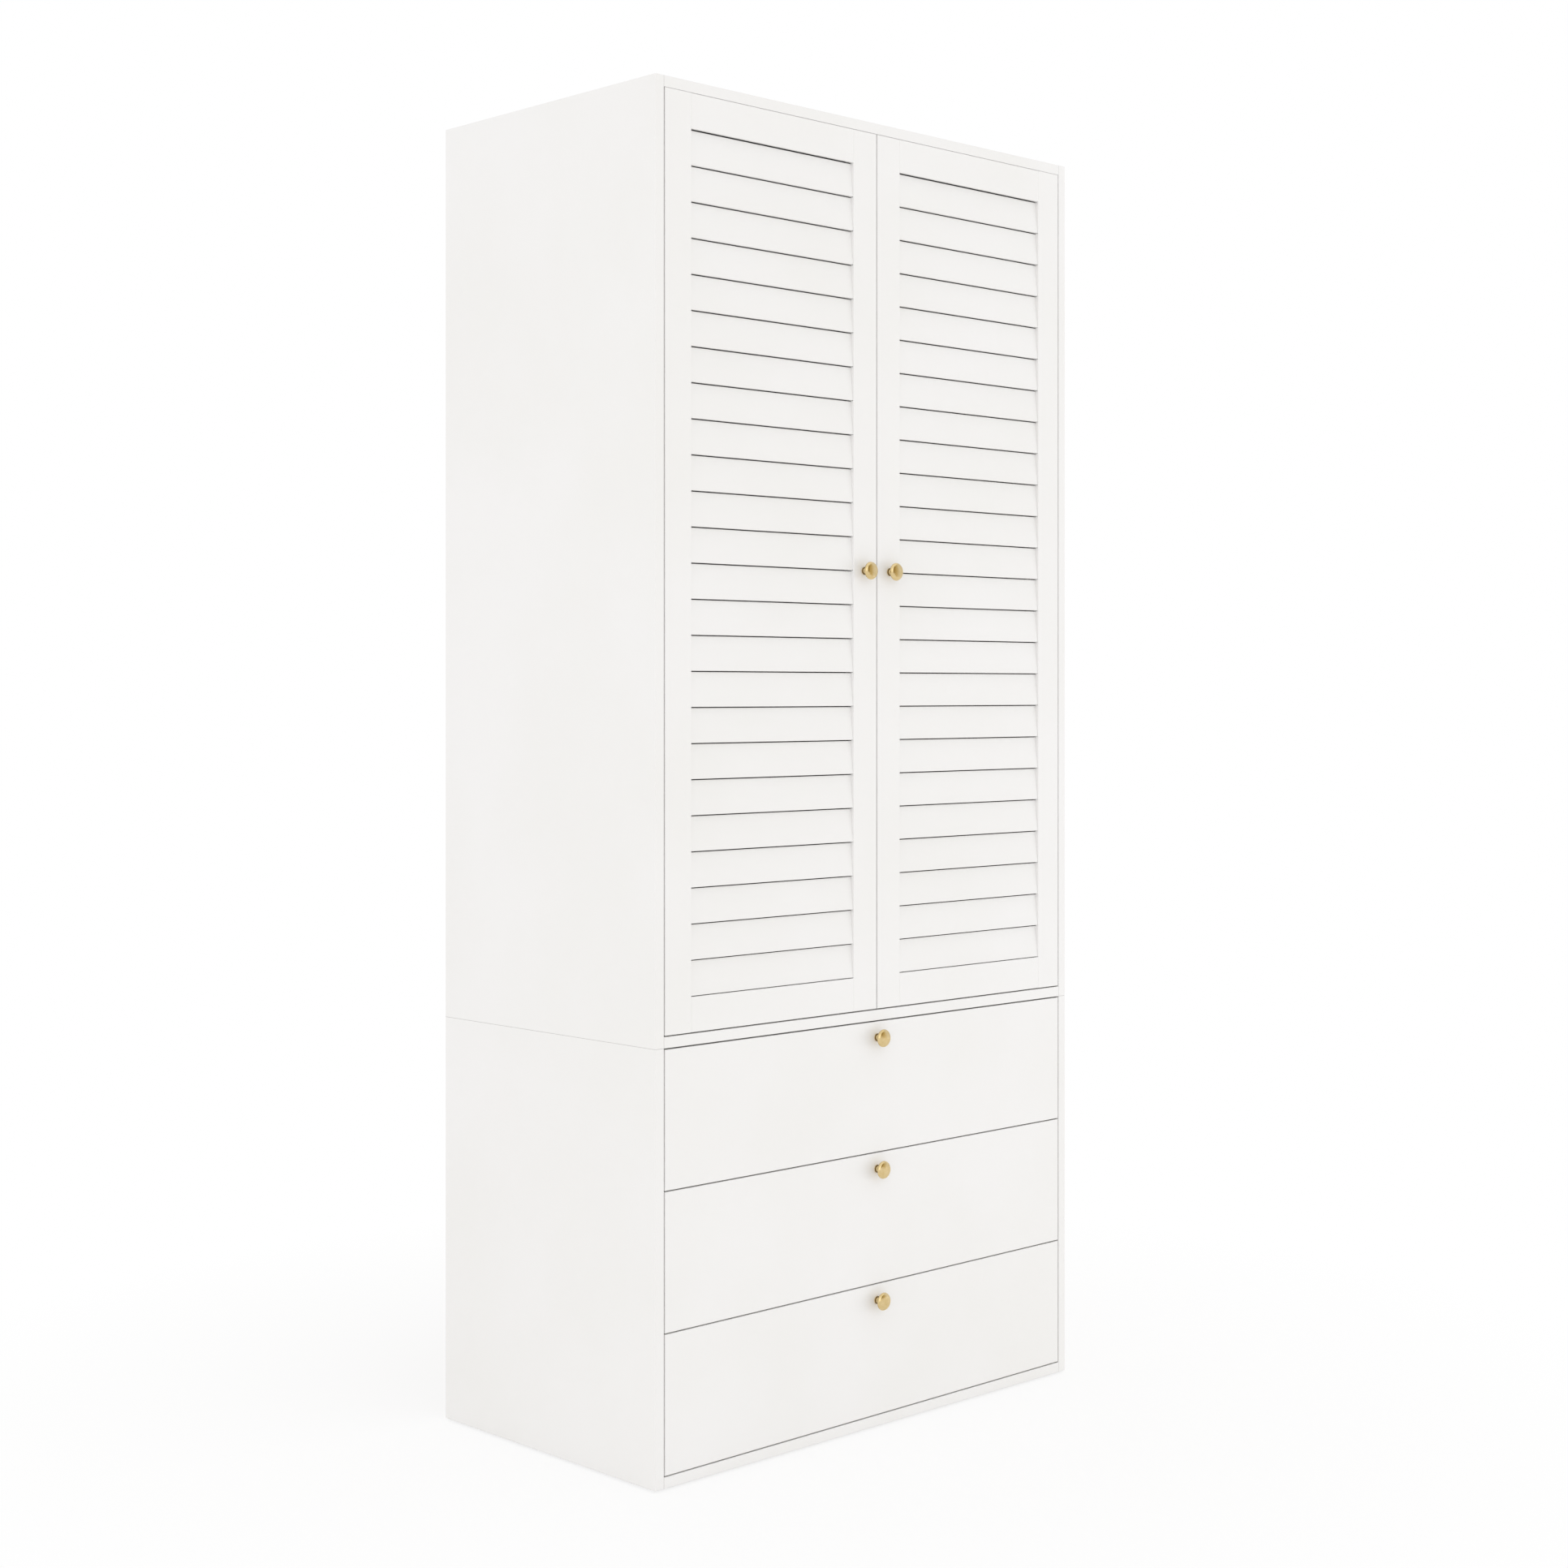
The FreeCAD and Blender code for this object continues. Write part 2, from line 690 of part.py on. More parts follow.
def hingeCups():
    """Pressed cups let into the back of the hinge stile, each with its riveted pin."""
    cups = bodyAt("left_hinge_cups", "door_left", "front_plane", "door_bottom + hinge_end")
    half = "flange_length / 2"
    side = "cup_radius - cup_fit"
    drawing = drawOn(cups, "XZ_Plane", "-front_board")
    outline(
        drawing,
        [
            ("cup_edge - (%s) + flange_corner" % side, "-" + half),
            ("cup_edge + %s - flange_corner" % side, "-" + half),
            ("cup_edge + " + side, "flange_corner - " + half),
            ("cup_edge + " + side, half + " - flange_corner"),
            ("cup_edge + %s - flange_corner" % side, half),
            ("cup_edge - (%s) + flange_corner" % side, half),
            ("cup_edge - (%s)" % side, half + " - flange_corner"),
            ("cup_edge - (%s)" % side, "flange_corner - " + half),
        ],
    )
    pad(cups, drawing, "cup_flange", True)
    drawing = drawOn(cups, "XZ_Plane", "-front_board")
    faceted(drawing, "cup_edge", "0", side, "cup_facets")
    pad(cups, drawing, "cup_depth")
    drill(
        cups, "XZ_Plane", "-front_board - cup_flange", "cup_edge", "0",
        side + " - cup_wall", "cup_depth + cup_flange - cup_wall", True, "cup_facets",
    )
    drawing = drawOn(cups, "XY_Plane", "-(cup_radius - cup_fit - cup_wall / 2)")
    circle(drawing, "pivot_in", "pivot_back", "pin_radius")
    pad(cups, drawing, "2 * (cup_radius - cup_fit - cup_wall / 2)")
    repeat(cups, None, "Z_Axis", "3", "hinge_step")
    return cups


# Louvred doors


def slatOutline(drawing, grow):
    """A louvre's section in depth and height: a board that leans back at the top."""
    lean_in = "sin(slat_lean)"
    lean_up = "cos(slat_lean)"
    corners = []
    for along, across in (("0", "0"), ("1", "0"), ("1", "1"), ("0", "1")):
        up = "(%s * slat_width + (2 * %s - 1) * %s)" % (along, along, grow)
        back = "(%s * slat_board + (2 * %s - 1) * %s)" % (across, across, grow)
        corners.append(
            (
                "slat_setback + %s * %s + %s * %s" % (up, lean_in, back, lean_up),
                "slat_slit + slat_drop + %s * %s - %s * %s" % (up, lean_up, back, lean_in),
            )
        )
    outline(drawing, corners)


def louvres():
    """The leaning slats of one door, from housing to housing."""
    slats = bodyAt(
        "left_louvres", "door_left + stile_width - slat_seat", "front_plane",
        "door_bottom + rail_height",
    )
    drawing = drawOn(slats, "YZ_Plane")
    slatOutline(drawing, "0")
    slat = pad(slats, drawing, "slat_run + 2 * slat_seat")
    names = [
        "Edge%d" % number
        for number, edge in enumerate(slat.Shape.Edges, 1)
        if edge.Length > value("slat_run")
    ]
    eased = slats.newObject("PartDesign::Chamfer", "Easing")
    eased.Base = (slat, names)
    bind(eased, "Size", "slat_edge")
    finish(slats, eased)
    repeat(slats, None, "Z_Axis", "slat_count", "slat_pitch")
    return slats


def stile(label, x):
    """An upright of the door frame."""
    return board(
        label, x, "front_plane", "door_bottom", "stile_width", "front_board", "door_height"
    )


def houseLouvres(upright, depth_start):
    """Leaning housings that take the ends of the louvres."""
    drawing = drawOn(upright, "YZ_Plane", depth_start)
    slatOutline(drawing, "joint_fit")
    drawing.setExpression("AttachmentOffset.Base.y", full("rail_height"))
    housing = pocket(upright, drawing, "slat_seat")
    repeat(upright, housing, "Z_Axis", "slat_count", "slat_pitch")


def mortises(upright, x):
    """Blind mortises for the two rails."""
    drawing_depth = "(front_board - tenon_board) / 2 - joint_fit"
    for z in ("tenon_shoulder - joint_fit", "door_height - rail_height + tenon_shoulder - joint_fit"):
        slot(
            upright, x, drawing_depth, z, "tenon_length + joint_fit",
            "tenon_board + 2 * joint_fit",
            "rail_height - 2 * tenon_shoulder + 2 * joint_fit",
        )


def knobHole(panel, x, z):
    drill(panel, "XZ_Plane", "0", x, z, "screw_radius + screw_clear", "front_board", False)


def hingeStile():
    upright = stile("left_hinge_stile", "door_left")
    base = upright.Tip
    corner = [
        "Edge%d" % number
        for number, edge in enumerate(base.Shape.Edges, 1)
        if edge.BoundBox.XMax < 0.001 and onFront(edge.BoundBox)
    ]
    rounded = upright.newObject("PartDesign::Fillet", "Rounding")
    rounded.Base = (base, corner)
    bind(rounded, "Radius", "hinge_arris")
    finish(upright, rounded)
    inner = value("stile_width") - 0.001
    ease(upright, lambda box: onFront(box) and box.XMin > inner)
    houseLouvres(upright, "stile_width - slat_seat")
    mortises(upright, "stile_width - tenon_length - joint_fit")
    cup = drill(
        upright, "XZ_Plane", "-front_board", "cup_edge", "hinge_end", "cup_radius",
        "cup_depth", True, "cup_facets",
    )
    repeat(upright, cup, "Z_Axis", "3", "hinge_step")
    return upright


def meetingStile():
    upright = stile("left_meeting_stile", "-reveal / 2 - stile_width")
    ease(upright, onFront)
    houseLouvres(upright, "0")
    mortises(upright, "0")
    knobHole(upright, "stile_width - knob_inset", "door_height / 2")
    return upright


def doorRail(label, z):
    """A crosspiece with a tongue at each end."""
    rail = board(
        label, "door_left + stile_width", "front_plane", z, "slat_run", "front_board",
        "rail_height",
    )
    ease(rail, onFront)
    block(
        rail, "-tenon_length", "(front_board - tenon_board) / 2", "tenon_shoulder",
        "slat_run + 2 * tenon_length", "tenon_board", "rail_height - 2 * tenon_shoulder",
    )
    return rail


def turned(label, rings):
    """A turned form in flat facets, through rings that step forward from the back one."""
    count = round(value("knob_facets"))
    loops = []
    for radius, reach in rings:
        corner = value(radius) / math.cos(math.pi / count)
        turns = [2 * math.pi * (number + 0.5) / count for number in range(count)]
        loops.append(
            [V(corner * math.cos(turn), -value(reach), corner * math.sin(turn)) for turn in turns]
        )
    faces = [Part.Face(Part.makePolygon(loop + loop[:1])) for loop in (loops[0], loops[-1])]
    for near, far in zip(loops, loops[1:]):
        for number in range(count):
            after = (number + 1) % count
            corners = [near[number], near[after], far[after], far[number], near[number]]
            faces.append(Part.Face(Part.makePolygon(corners)))
    shell = Part.Shell(faces)
    shell.sewShape()
    solid = Part.Solid(shell)
    if solid.Volume < 0:
        solid.reverse()
    form = doc.addObject("Part::Feature", label)
    form.Shape = solid
    return form


def screwLength(label, x, z, parts):
    """Faceted lengths along Y from a front board, given as start, radius and length."""
    body = bodyAt(label, x, "front_plane", z)
    for start, radius, length in parts:
        drawing = drawOn(body, "XZ_Plane", start)
        faceted(drawing, "0", "0", radius)
        pad(body, drawing, length)
    return body


def knob(label, x, z):
    """A knob with a hollow neck and a broad head, and the screw that holds it."""
    rings = [
        ("knob_base_radius", "0"),
        ("knob_base_radius", "knob_base_height"),
        ("knob_neck_radius", "knob_neck_at"),
        ("knob_throat_radius", "knob_rim_at - knob_flare"),
        ("knob_radius", "knob_rim_at"),
        ("knob_radius", "knob_rim_at + knob_rim"),
        ("knob_dome_radius", "knob_face_at"),
        ("knob_crown_radius", "knob_reach"),
    ]
    form = turned(label + "_form", rings)
    form.Placement.Base = V(value(x), value("front_plane"), value(z))
    bore = [("-1", "screw_radius + screw_fit", "screw_grip + 2")]
    bored = doc.addObject("Part::Cut", label + "_turning")
    bored.Base = form
    bored.Tool = screwLength(label + "_bore", x, z, bore)
    lengths = [
        ("-front_board", "screw_radius", "front_board + screw_grip"),
        ("-front_board - screw_head_height", "screw_head_radius", "screw_head_height"),
    ]
    return together(label, [bored, screwLength(label + "_screw", x, z, lengths)])


top_rail = doorRail("left_top_rail", "door_bottom + door_height - rail_height")
slot(top_rail, "-1", "rail_lip", "-1", "slat_run + 2", "front_board", "tenon_shoulder + 1")
left_door = [
    hingeStile(),
    meetingStile(),
    top_rail,
    doorRail("left_bottom_rail", "door_bottom"),
    louvres(),
    hingeCups(),
    knob("left_door_knob", "-(reveal / 2 + knob_inset)", "door_bottom + door_height / 2"),
]
for piece in left_door:
    keep(piece)
for piece in left_door:
    keep(mirrored(piece, piece.Label.replace("left", "right", 1)))

# Drawers and their telescopic runners


def channel(label, x, y, z, height, flange, opens_right):
    """A left-hand runner member: a web with a flange along its top and bottom."""
    member = bodyAt(label, x, y, z)
    drawing = drawOn(member, "XZ_Plane")
    sign = "" if opens_right else "-"
    web = sign + "runner_sheet"
    tip = sign + "(" + flange + ")"
    top = height + " / 2"
    lip = height + " / 2 - runner_sheet"
    corners = [
        ("0", "-" + top), (tip, "-" + top), (tip, "-(" + lip + ")"), (web, "-(" + lip + ")"),
        (web, lip), (tip, lip), (tip, top), ("0", top),
    ]
    outline(drawing, corners)
    pad(member, drawing, "box_length", True)
    return member


runner_front = "front_plane + front_board + stretcher_gap"

cabinet_side = channel(
    "left_cabinet_runners", "-inner_half", runner_front,
    "first_drawer + box_rise + runner_rise", "runner_height", "runner_flange", True,
)
repeat(cabinet_side, cabinet_side.Tip, "Z_Axis", "drawer_count", "drawer_step")
keep(together("cabinet_runners", [cabinet_side, mirrored(cabinet_side, "right_cabinet_runners")]))


def drawer(name, number):
    """One drawer: a front, four thin boards behind it, a knob and its runner members."""
    low = "first_drawer + %d * drawer_step" % number
    box_low = low + " + box_rise"
    behind = "front_plane + front_board"
    groove_z = "base_rise - panel_slip"
    face = board(
        name + "_front", "reveal - inner_half", "front_plane", low,
        "2 * (inner_half - reveal)", "front_board", "drawer_face",
    )
    ease(face, onFront)
    slot(
        face, "inner_half - reveal - base_half - panel_slip", "front_board - base_seat",
        "box_rise + " + groove_z, "2 * (base_half + panel_slip)", "base_seat + 1",
        "base_board + panel_slip",
    )
    knobHole(face, "inner_half - reveal", "drawer_face - knob_drop")
    keep(face)
    side = board(
        name + "_left_side", "-box_half", behind, box_low, "box_board", "box_length", "box_height"
    )
    slot(
        side, "box_board - base_seat", "-1", groove_z, "base_seat + 1",
        "box_length + 2", "base_board + panel_slip",
    )
    keep(side)
    keep(mirrored(side, name + "_right_side"))
    back = board(
        name + "_back", "box_board - box_half", behind + " + box_length - box_board", box_low,
        "2 * (box_half - box_board)", "box_board", "box_height",
    )
    slot(
        back, "-1", "-1", groove_z, "2 * (box_half - box_board) + 2", "base_seat + 1",
        "base_board + panel_slip",
    )
    keep(back)
    keep(
        board(
            name + "_bottom", "panel_slip - base_half", behind + " - base_seat + panel_slip",
            box_low + " + base_rise - panel_slip", "2 * (base_half - panel_slip)",
            "box_length - box_board + 2 * (base_seat - panel_slip)", "base_board",
        )
    )
    keep(knob(name + "_knob", "0", low + " + drawer_face - knob_drop"))
    middle = box_low + " + runner_rise"
    inner = channel(
        name + "_left_inner_runner", "-box_half", runner_front, middle,
        "inner_height", "inner_flange", False,
    )
    keep(together(name + "_runners", [inner, mirrored(inner, name + "_right_inner_runner")]))
    slide = channel(
        name + "_left_middle_runner", "middle_offset - inner_half", runner_front, middle,
        "middle_height", "middle_flange", True,
    )
    keep(
        together(
            name + "_middle_runners", [slide, mirrored(slide, name + "_right_middle_runner")]
        )
    )


for number, name in enumerate(drawer_names):
    drawer(name, number)

# Checks and files

doc.recompute()
for thing in doc.Objects:
    if "Invalid" in thing.State or "Error" in thing.State:
        raise RuntimeError("%s failed: %s" % (thing.Label, thing.State))
os.makedirs("parts", exist_ok=True)
for node in nodes:
    if node.Shape.isNull() or not node.Shape.isValid():
        raise RuntimeError("%s has no valid shape" % node.Label)
for node in nodes:
    node.Shape.exportStep("parts/%s.step" % node.Label)
print("%d sub-parts" % len(nodes))
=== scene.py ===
import bmesh
import bpy
import numpy as np
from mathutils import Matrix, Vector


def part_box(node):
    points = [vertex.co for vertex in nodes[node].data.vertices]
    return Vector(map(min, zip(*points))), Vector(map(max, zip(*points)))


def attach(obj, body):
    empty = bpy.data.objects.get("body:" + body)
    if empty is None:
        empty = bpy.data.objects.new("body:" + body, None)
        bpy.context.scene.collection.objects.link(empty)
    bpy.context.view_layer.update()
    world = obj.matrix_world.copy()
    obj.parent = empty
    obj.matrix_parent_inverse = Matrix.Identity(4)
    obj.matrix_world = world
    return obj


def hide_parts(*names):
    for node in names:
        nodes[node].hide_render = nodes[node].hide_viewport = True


# A louvred door cabinet: satin white lacquer outside, birch plywood drawers, plated fittings.
# Sizes are in metres, apart from those in the dictionaries of pieces and looks: they are in millimetres,
# and mm turns them to metres.

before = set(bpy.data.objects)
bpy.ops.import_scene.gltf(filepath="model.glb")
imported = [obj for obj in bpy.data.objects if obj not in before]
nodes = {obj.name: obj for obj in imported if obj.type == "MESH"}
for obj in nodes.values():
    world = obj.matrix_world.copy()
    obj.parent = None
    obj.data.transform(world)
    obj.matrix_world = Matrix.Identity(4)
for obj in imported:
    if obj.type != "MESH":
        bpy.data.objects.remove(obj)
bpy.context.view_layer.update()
mm = 0.001
drawers = ("bottom_drawer", "middle_drawer", "top_drawer")


def midway(node, axis):
    # The middle of a node's box along an axis
    number = "xyz".index(axis)
    low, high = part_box(node)
    return (low[number] + high[number]) / 2


def unitised(vectors):
    return vectors / np.linalg.norm(vectors, axis=-1, keepdims=True)


def lengthAlong(path):
    # The distance along a path from its first point to each of its points
    return np.r_[0, np.cumsum(np.linalg.norm(np.diff(path, axis=0), axis=1))]


def rounded(corners, radius, steps=5, closed=True):
    # Each corner gives way to an arc that touches both its sides and turns evenly between them
    spots = np.asarray(corners, float)
    corner, before, after = spots, np.roll(spots, 1, 0), np.roll(spots, -1, 0)
    if not closed:
        corner, before, after = spots[1:-1], spots[:-2], spots[2:]
    radii = np.broadcast_to(radius, len(corner)).astype(float)[:, None]
    back, ahead = unitised(before - corner), unitised(after - corner)
    half = np.arccos(np.clip((back * ahead).sum(1, keepdims=True), -1, 1)) / 2
    centre = corner + unitised(back + ahead) * radii / np.sin(half)
    first = corner + back * radii / np.tan(half) - centre
    last = corner + ahead * radii / np.tan(half) - centre
    turn = (np.pi - 2 * half)[:, None]
    s = np.linspace(0, 1, steps)[None, :, None]
    arc = (np.sin((1 - s) * turn) * first[:, None] + np.sin(s * turn) * last[:, None]) / np.sin(turn)
    bent = (centre[:, None] + arc).reshape(-1, 2)
    return bent if closed else np.vstack([spots[:1], bent, spots[-1:]])


def curveThrough(points, steps):
    # Catmull-Rom: between two key points a cubic whose end slopes follow the points on either side
    p = np.asarray(points, float)
    p = np.vstack([p[:1], p, p[-1:]])
    t = np.linspace(0, 1, steps, endpoint=False)[:, None]
    runs = [
        0.5 * (2 * b + (c - a) * t + (2 * a - 5 * b + 4 * c - d) * t**2 + (3 * b - 3 * c + d - a) * t**3)
        for a, b, c, d in zip(p, p[1:], p[2:], p[3:])
    ]
    return np.vstack(runs + [p[-1:]])


def anglesRound(columns):
    return np.arange(columns) * 2 * np.pi / columns


def lathe(profile, columns):
    # A profile of radius and reach turned round an axis: (radius cos a, radius sin a, reach)
    a = anglesRound(columns)
    radius, reach = np.asarray(profile, float).T[:, :, None]
    return np.stack([radius * np.cos(a), radius * np.sin(a), reach + 0 * a], -1)


def roundedRod(radius, low, high, rounding, steps, columns, tip=0.1):
    # A turned rod with rounded edges, whose end faces close on a small circle of the tip's radius
    profile = [(tip, low), (radius, low), (radius, high), (tip, high)]
    return lathe(rounded(profile, rounding, steps, closed=False), columns)


def slab(outline, low, high, edge, steps=3):
    # An outline carried from low to high and drawn in by a quarter circle at each end
    x, y = outline.T
    if (x * np.roll(y, -1) - y * np.roll(x, -1)).sum() < 0:
        outline = outline[::-1]
    along = unitised(np.roll(outline, -1, 0) - np.roll(outline, 1, 0))
    out = np.stack([along[:, 1], -along[:, 0]], 1)
    a = np.linspace(0, np.pi / 2, steps + 1)
    inset = np.r_[edge * (1 - np.sin(a)), edge * (1 - np.sin(a[::-1]))]
    reach = np.r_[low + edge * (1 - np.cos(a)), high - edge * (1 - np.cos(a[::-1]))]
    flat = outline[None] - out[None] * inset[:, None, None]
    return np.concatenate([flat, np.broadcast_to(reach[:, None, None], (*flat.shape[:2], 1))], -1)


def closedShape(grid, ring=False):
    # Quads between neighbouring rows, which close round; with ring the last row joins the first, and
    # otherwise a flat face lies over each end
    rows, columns = grid.shape[:2]
    i = np.arange(rows if ring else rows - 1)[:, None]
    j = np.arange(columns)[None]
    here, there, k = i * columns, (i + 1) % rows * columns, (j + 1) % columns
    quads = np.stack(np.broadcast_arrays(here + j, here + k, there + k, there + j), -1).reshape(-1, 4)
    first, last = np.arange(columns)[::-1], (rows - 1) * columns + np.arange(columns)
    ends = [] if ring else [first.tolist(), last.tolist()]
    return grid.reshape(-1, 3), quads.tolist() + ends


# Where a shape's own x, y and z point once it is placed, named after its z
facings = {
    "up": [(1, 0, 0), (0, 1, 0), (0, 0, 1)],
    "down": [(1, 0, 0), (0, 1, 0), (0, 0, -1)],
    "back": [(1, 0, 0), (0, 0, 1), (0, 1, 0)],
    "front": [(1, 0, 0), (0, 0, 1), (0, -1, 0)],
    "right": [(0, 1, 0), (0, 0, 1), (1, 0, 0)],
    "left": [(0, 1, 0), (0, 0, 1), (-1, 0, 0)],
}


def placedShape(grid, origin, facing, ring=False):
    # A grid in millimetres laid out from an origin in metres
    return closedShape(np.asarray(origin, float) + mm * (grid @ np.array(facings[facing], float)), ring)


def mirrorX(shapes):
    return [(spots * (-1, 1, 1), loops) for spots, loops in shapes]


def addObject(name, data):
    thing = bpy.data.objects.new(name, data)
    bpy.context.scene.collection.objects.link(thing)
    return thing


def makePiece(name, shapes, body, finish, replaced=(), crease=35):
    # Shapes in one mesh: their points stacked, each face's numbers moved on by the points before it
    starts = np.cumsum([0] + [len(spots) for spots, loops in shapes])
    faces = [
        [number + int(start) for number in loop]
        for start, (spots, loops) in zip(starts, shapes) for loop in loops
    ]
    mesh = bpy.data.meshes.new(name)
    mesh.from_pydata(np.vstack([spots for spots, loops in shapes]).tolist(), [], faces)
    work = bmesh.new()
    work.from_mesh(mesh)
    bmesh.ops.recalc_face_normals(work, faces=work.faces)
    work.to_mesh(mesh)
    work.free()
    mesh.shade_smooth()
    mesh.set_sharp_from_angle(angle=np.radians(crease))
    material, slot = finish
    mesh.materials.append(material)
    thing = addObject(name, mesh)
    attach(thing, body)
    if replaced:
        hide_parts(*replaced)
    return thing


def linear(code):
    # sRGB to linear light: a straight line near black, above it a power of 2.4
    part = np.array([int(code[i:i + 2], 16) for i in (1, 3, 5)]) / 255
    lit = np.where(part <= 0.04045, part / 12.92, ((part + 0.055) / 1.055) ** 2.4)
    return (*lit.tolist(), 1.0)


def addNode(tree, kind, inputs=None, **settings):
    node = tree.nodes.new("ShaderNode" + kind)
    for name, value in settings.items():
        setattr(node, name, value)
    for name, value in (inputs or {}).items():
        if isinstance(value, bpy.types.NodeSocket):
            tree.links.new(value, node.inputs[name])
        else:
            node.inputs[name].default_value = value
    return node


def emptyMaterial(name):
    material = bpy.data.materials.new(name)
    material.use_nodes = True
    material.node_tree.nodes.clear()
    return material, material.node_tree


def newSurface(name, constants):
    # A Principled surface with its constant values on its own sockets, and object coordinates in metres
    material, tree = emptyMaterial(name)
    surface = addNode(tree, "BsdfPrincipled", constants)
    addNode(tree, "OutputMaterial", {"Surface": surface.outputs[0]})
    return material, tree, surface, addNode(tree, "TexCoord").outputs["Object"]


def stretched(tree, place, pitch):
    # Object coordinates counted in pattern cells, of one size or of one along each axis, in millimetres
    scale = 1 / (np.broadcast_to(pitch, 3) * mm)
    return addNode(tree, "Mapping", {0: place, "Scale": scale.tolist()}).outputs[0]


def noise(tree, place, pitch, detail, roughness=0.5, distortion=0.0):
    inputs = {
        "Vector": stretched(tree, place, pitch), "Scale": 1.0, "Detail": detail, "Roughness": roughness,
        "Distortion": distortion,
    }
    return addNode(tree, "TexNoise", inputs).outputs[0]


def mixColours(tree, share, first, second):
    # The first colour gives way to the second as the share goes from 0 to 1; each is a hex code or a socket
    first, second = (linear(colour) if isinstance(colour, str) else colour for colour in (first, second))
    return addNode(tree, "Mix", {0: share, 6: first, 7: second}, data_type="RGBA").outputs[2]


def spread(tree, value, span, into=(0.0, 1.0)):
    # The span stretched over another range and held at its ends
    inputs = {0: value, 1: span[0], 2: span[1], 3: into[0], 4: into[1]}
    return addNode(tree, "MapRange", inputs, clamp=True).outputs[0]


def maths(tree, operation, first, second=0.0):
    return addNode(tree, "Math", {0: first, 1: second}, operation=operation).outputs[0]


def distance(tree, value, middle):
    return maths(tree, "ABSOLUTE", maths(tree, "SUBTRACT", value, middle))


def nearby(tree, value, middle, half):
    # 1 where the value is within half of the middle, else 0
    return maths(tree, "LESS_THAN", distance(tree, value, middle), half)


def linkTo(tree, surface, socket, value):
    tree.links.new(value, surface.inputs[socket])


def emboss(tree, surface, pattern, height, strength=1.0):
    # A bump whose height is in millimetres
    bump = addNode(tree, "Bump", {"Height": pattern, "Distance": height * mm, "Strength": strength})
    linkTo(tree, surface, "Normal", bump.outputs[0])


def flushJoints(tree, place, width, depth):
    # 1 along the lines where boards meet flush, else 0: between the two cases all round, and on the front
    # where the ends of the three cross panels meet the sides. The depth takes in the front edges' small
    # arris.
    low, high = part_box("upper_left_side")
    x, y, z = addNode(tree, "SeparateXYZ", {0: place}).outputs
    band = 0.0
    for panel in ("floor_panel", "divider_panel", "top_panel"):
        under, over = (corner.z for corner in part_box(panel))
        band = maths(tree, "ADD", nearby(tree, z, (under + over) / 2, (over - under) / 2), band)
    ends = nearby(tree, maths(tree, "ABSOLUTE", x), -high.x, width / 2)
    front = maths(tree, "LESS_THAN", y, low.y + depth)
    ends = maths(tree, "MULTIPLY", maths(tree, "MULTIPLY", ends, front), band)
    return maths(tree, "MAXIMUM", nearby(tree, z, low.z, width / 2), ends)


def satinWhiteLacquer():
    # Acid-cured lacquer sprayed on fibreboard and rubbed down between coats: an even warm white with a
    # soft sheen. Broad drifts of tone come from film thickness; orange peel is about 1.5 mm, drawn at 4
    # mm so that it shows. A hairline of shade, 0.1 mm wide and drawn at 0.5 mm, shows where two boards
    # meet flush.
    look = {
        "colour": "#f2f1f0", "shade": "#f0efed", "drift": 260, "driftSpan": (0.35, 0.65), "peel": 4,
        "peelHeight": 0.012, "joint": "#cccbc9", "jointWidth": 0.5, "jointDepth": 1.0,
    }
    material, tree, surface, place = newSurface("satinWhiteLacquer", {"Roughness": 0.42, "IOR": 1.5})
    drift = spread(tree, noise(tree, place, look["drift"], detail=3), look["driftSpan"])
    film = mixColours(tree, drift, look["colour"], look["shade"])
    lines = flushJoints(tree, place, look["jointWidth"] * mm, look["jointDepth"] * mm)
    linkTo(tree, surface, "Base Color", mixColours(tree, lines, film, look["joint"]))
    emboss(tree, surface, noise(tree, place, look["peel"], detail=1), look["peelHeight"])
    return material


def whiteFacedHardboard():
    # Wet-process hardboard: white paint on the smooth face, and bare brown fibre behind with the print of
    # the press screen. The middle of the board's thickness parts the two. A wave has 20 / (2 pi) bands in
    # a cell, so cells of 5 mm give the screen's threads, 1.6 mm apart.
    look = {
        "face": "#efeeeb", "fibre": "#8a6a4a", "dark": "#6d5138", "tuft": 9, "tuftSpan": (0.3, 0.7),
        "screenCell": 5, "screenHeight": 0.25, "screenStrength": 0.6,
    }
    material, tree, surface, place = newSurface("whiteFacedHardboard", {"Roughness": 0.55, "IOR": 1.48})
    y = addNode(tree, "SeparateXYZ", {0: place}).outputs[1]
    behind = maths(tree, "GREATER_THAN", y, midway("upper_back_panel", "y"))
    tufts = spread(tree, noise(tree, place, look["tuft"], detail=6, roughness=0.7), look["tuftSpan"])
    brown = mixColours(tree, tufts, look["fibre"], look["dark"])
    linkTo(tree, surface, "Base Color", mixColours(tree, behind, look["face"], brown))
    threads = {"Vector": stretched(tree, place, look["screenCell"]), "Scale": 1.0}
    across, up = (addNode(tree, "TexWave", threads, bands_direction=axis).outputs[1] for axis in "XZ")
    screen = maths(tree, "MULTIPLY", maths(tree, "MULTIPLY", across, up), behind)
    emboss(tree, surface, screen, look["screenHeight"], look["screenStrength"])
    return material


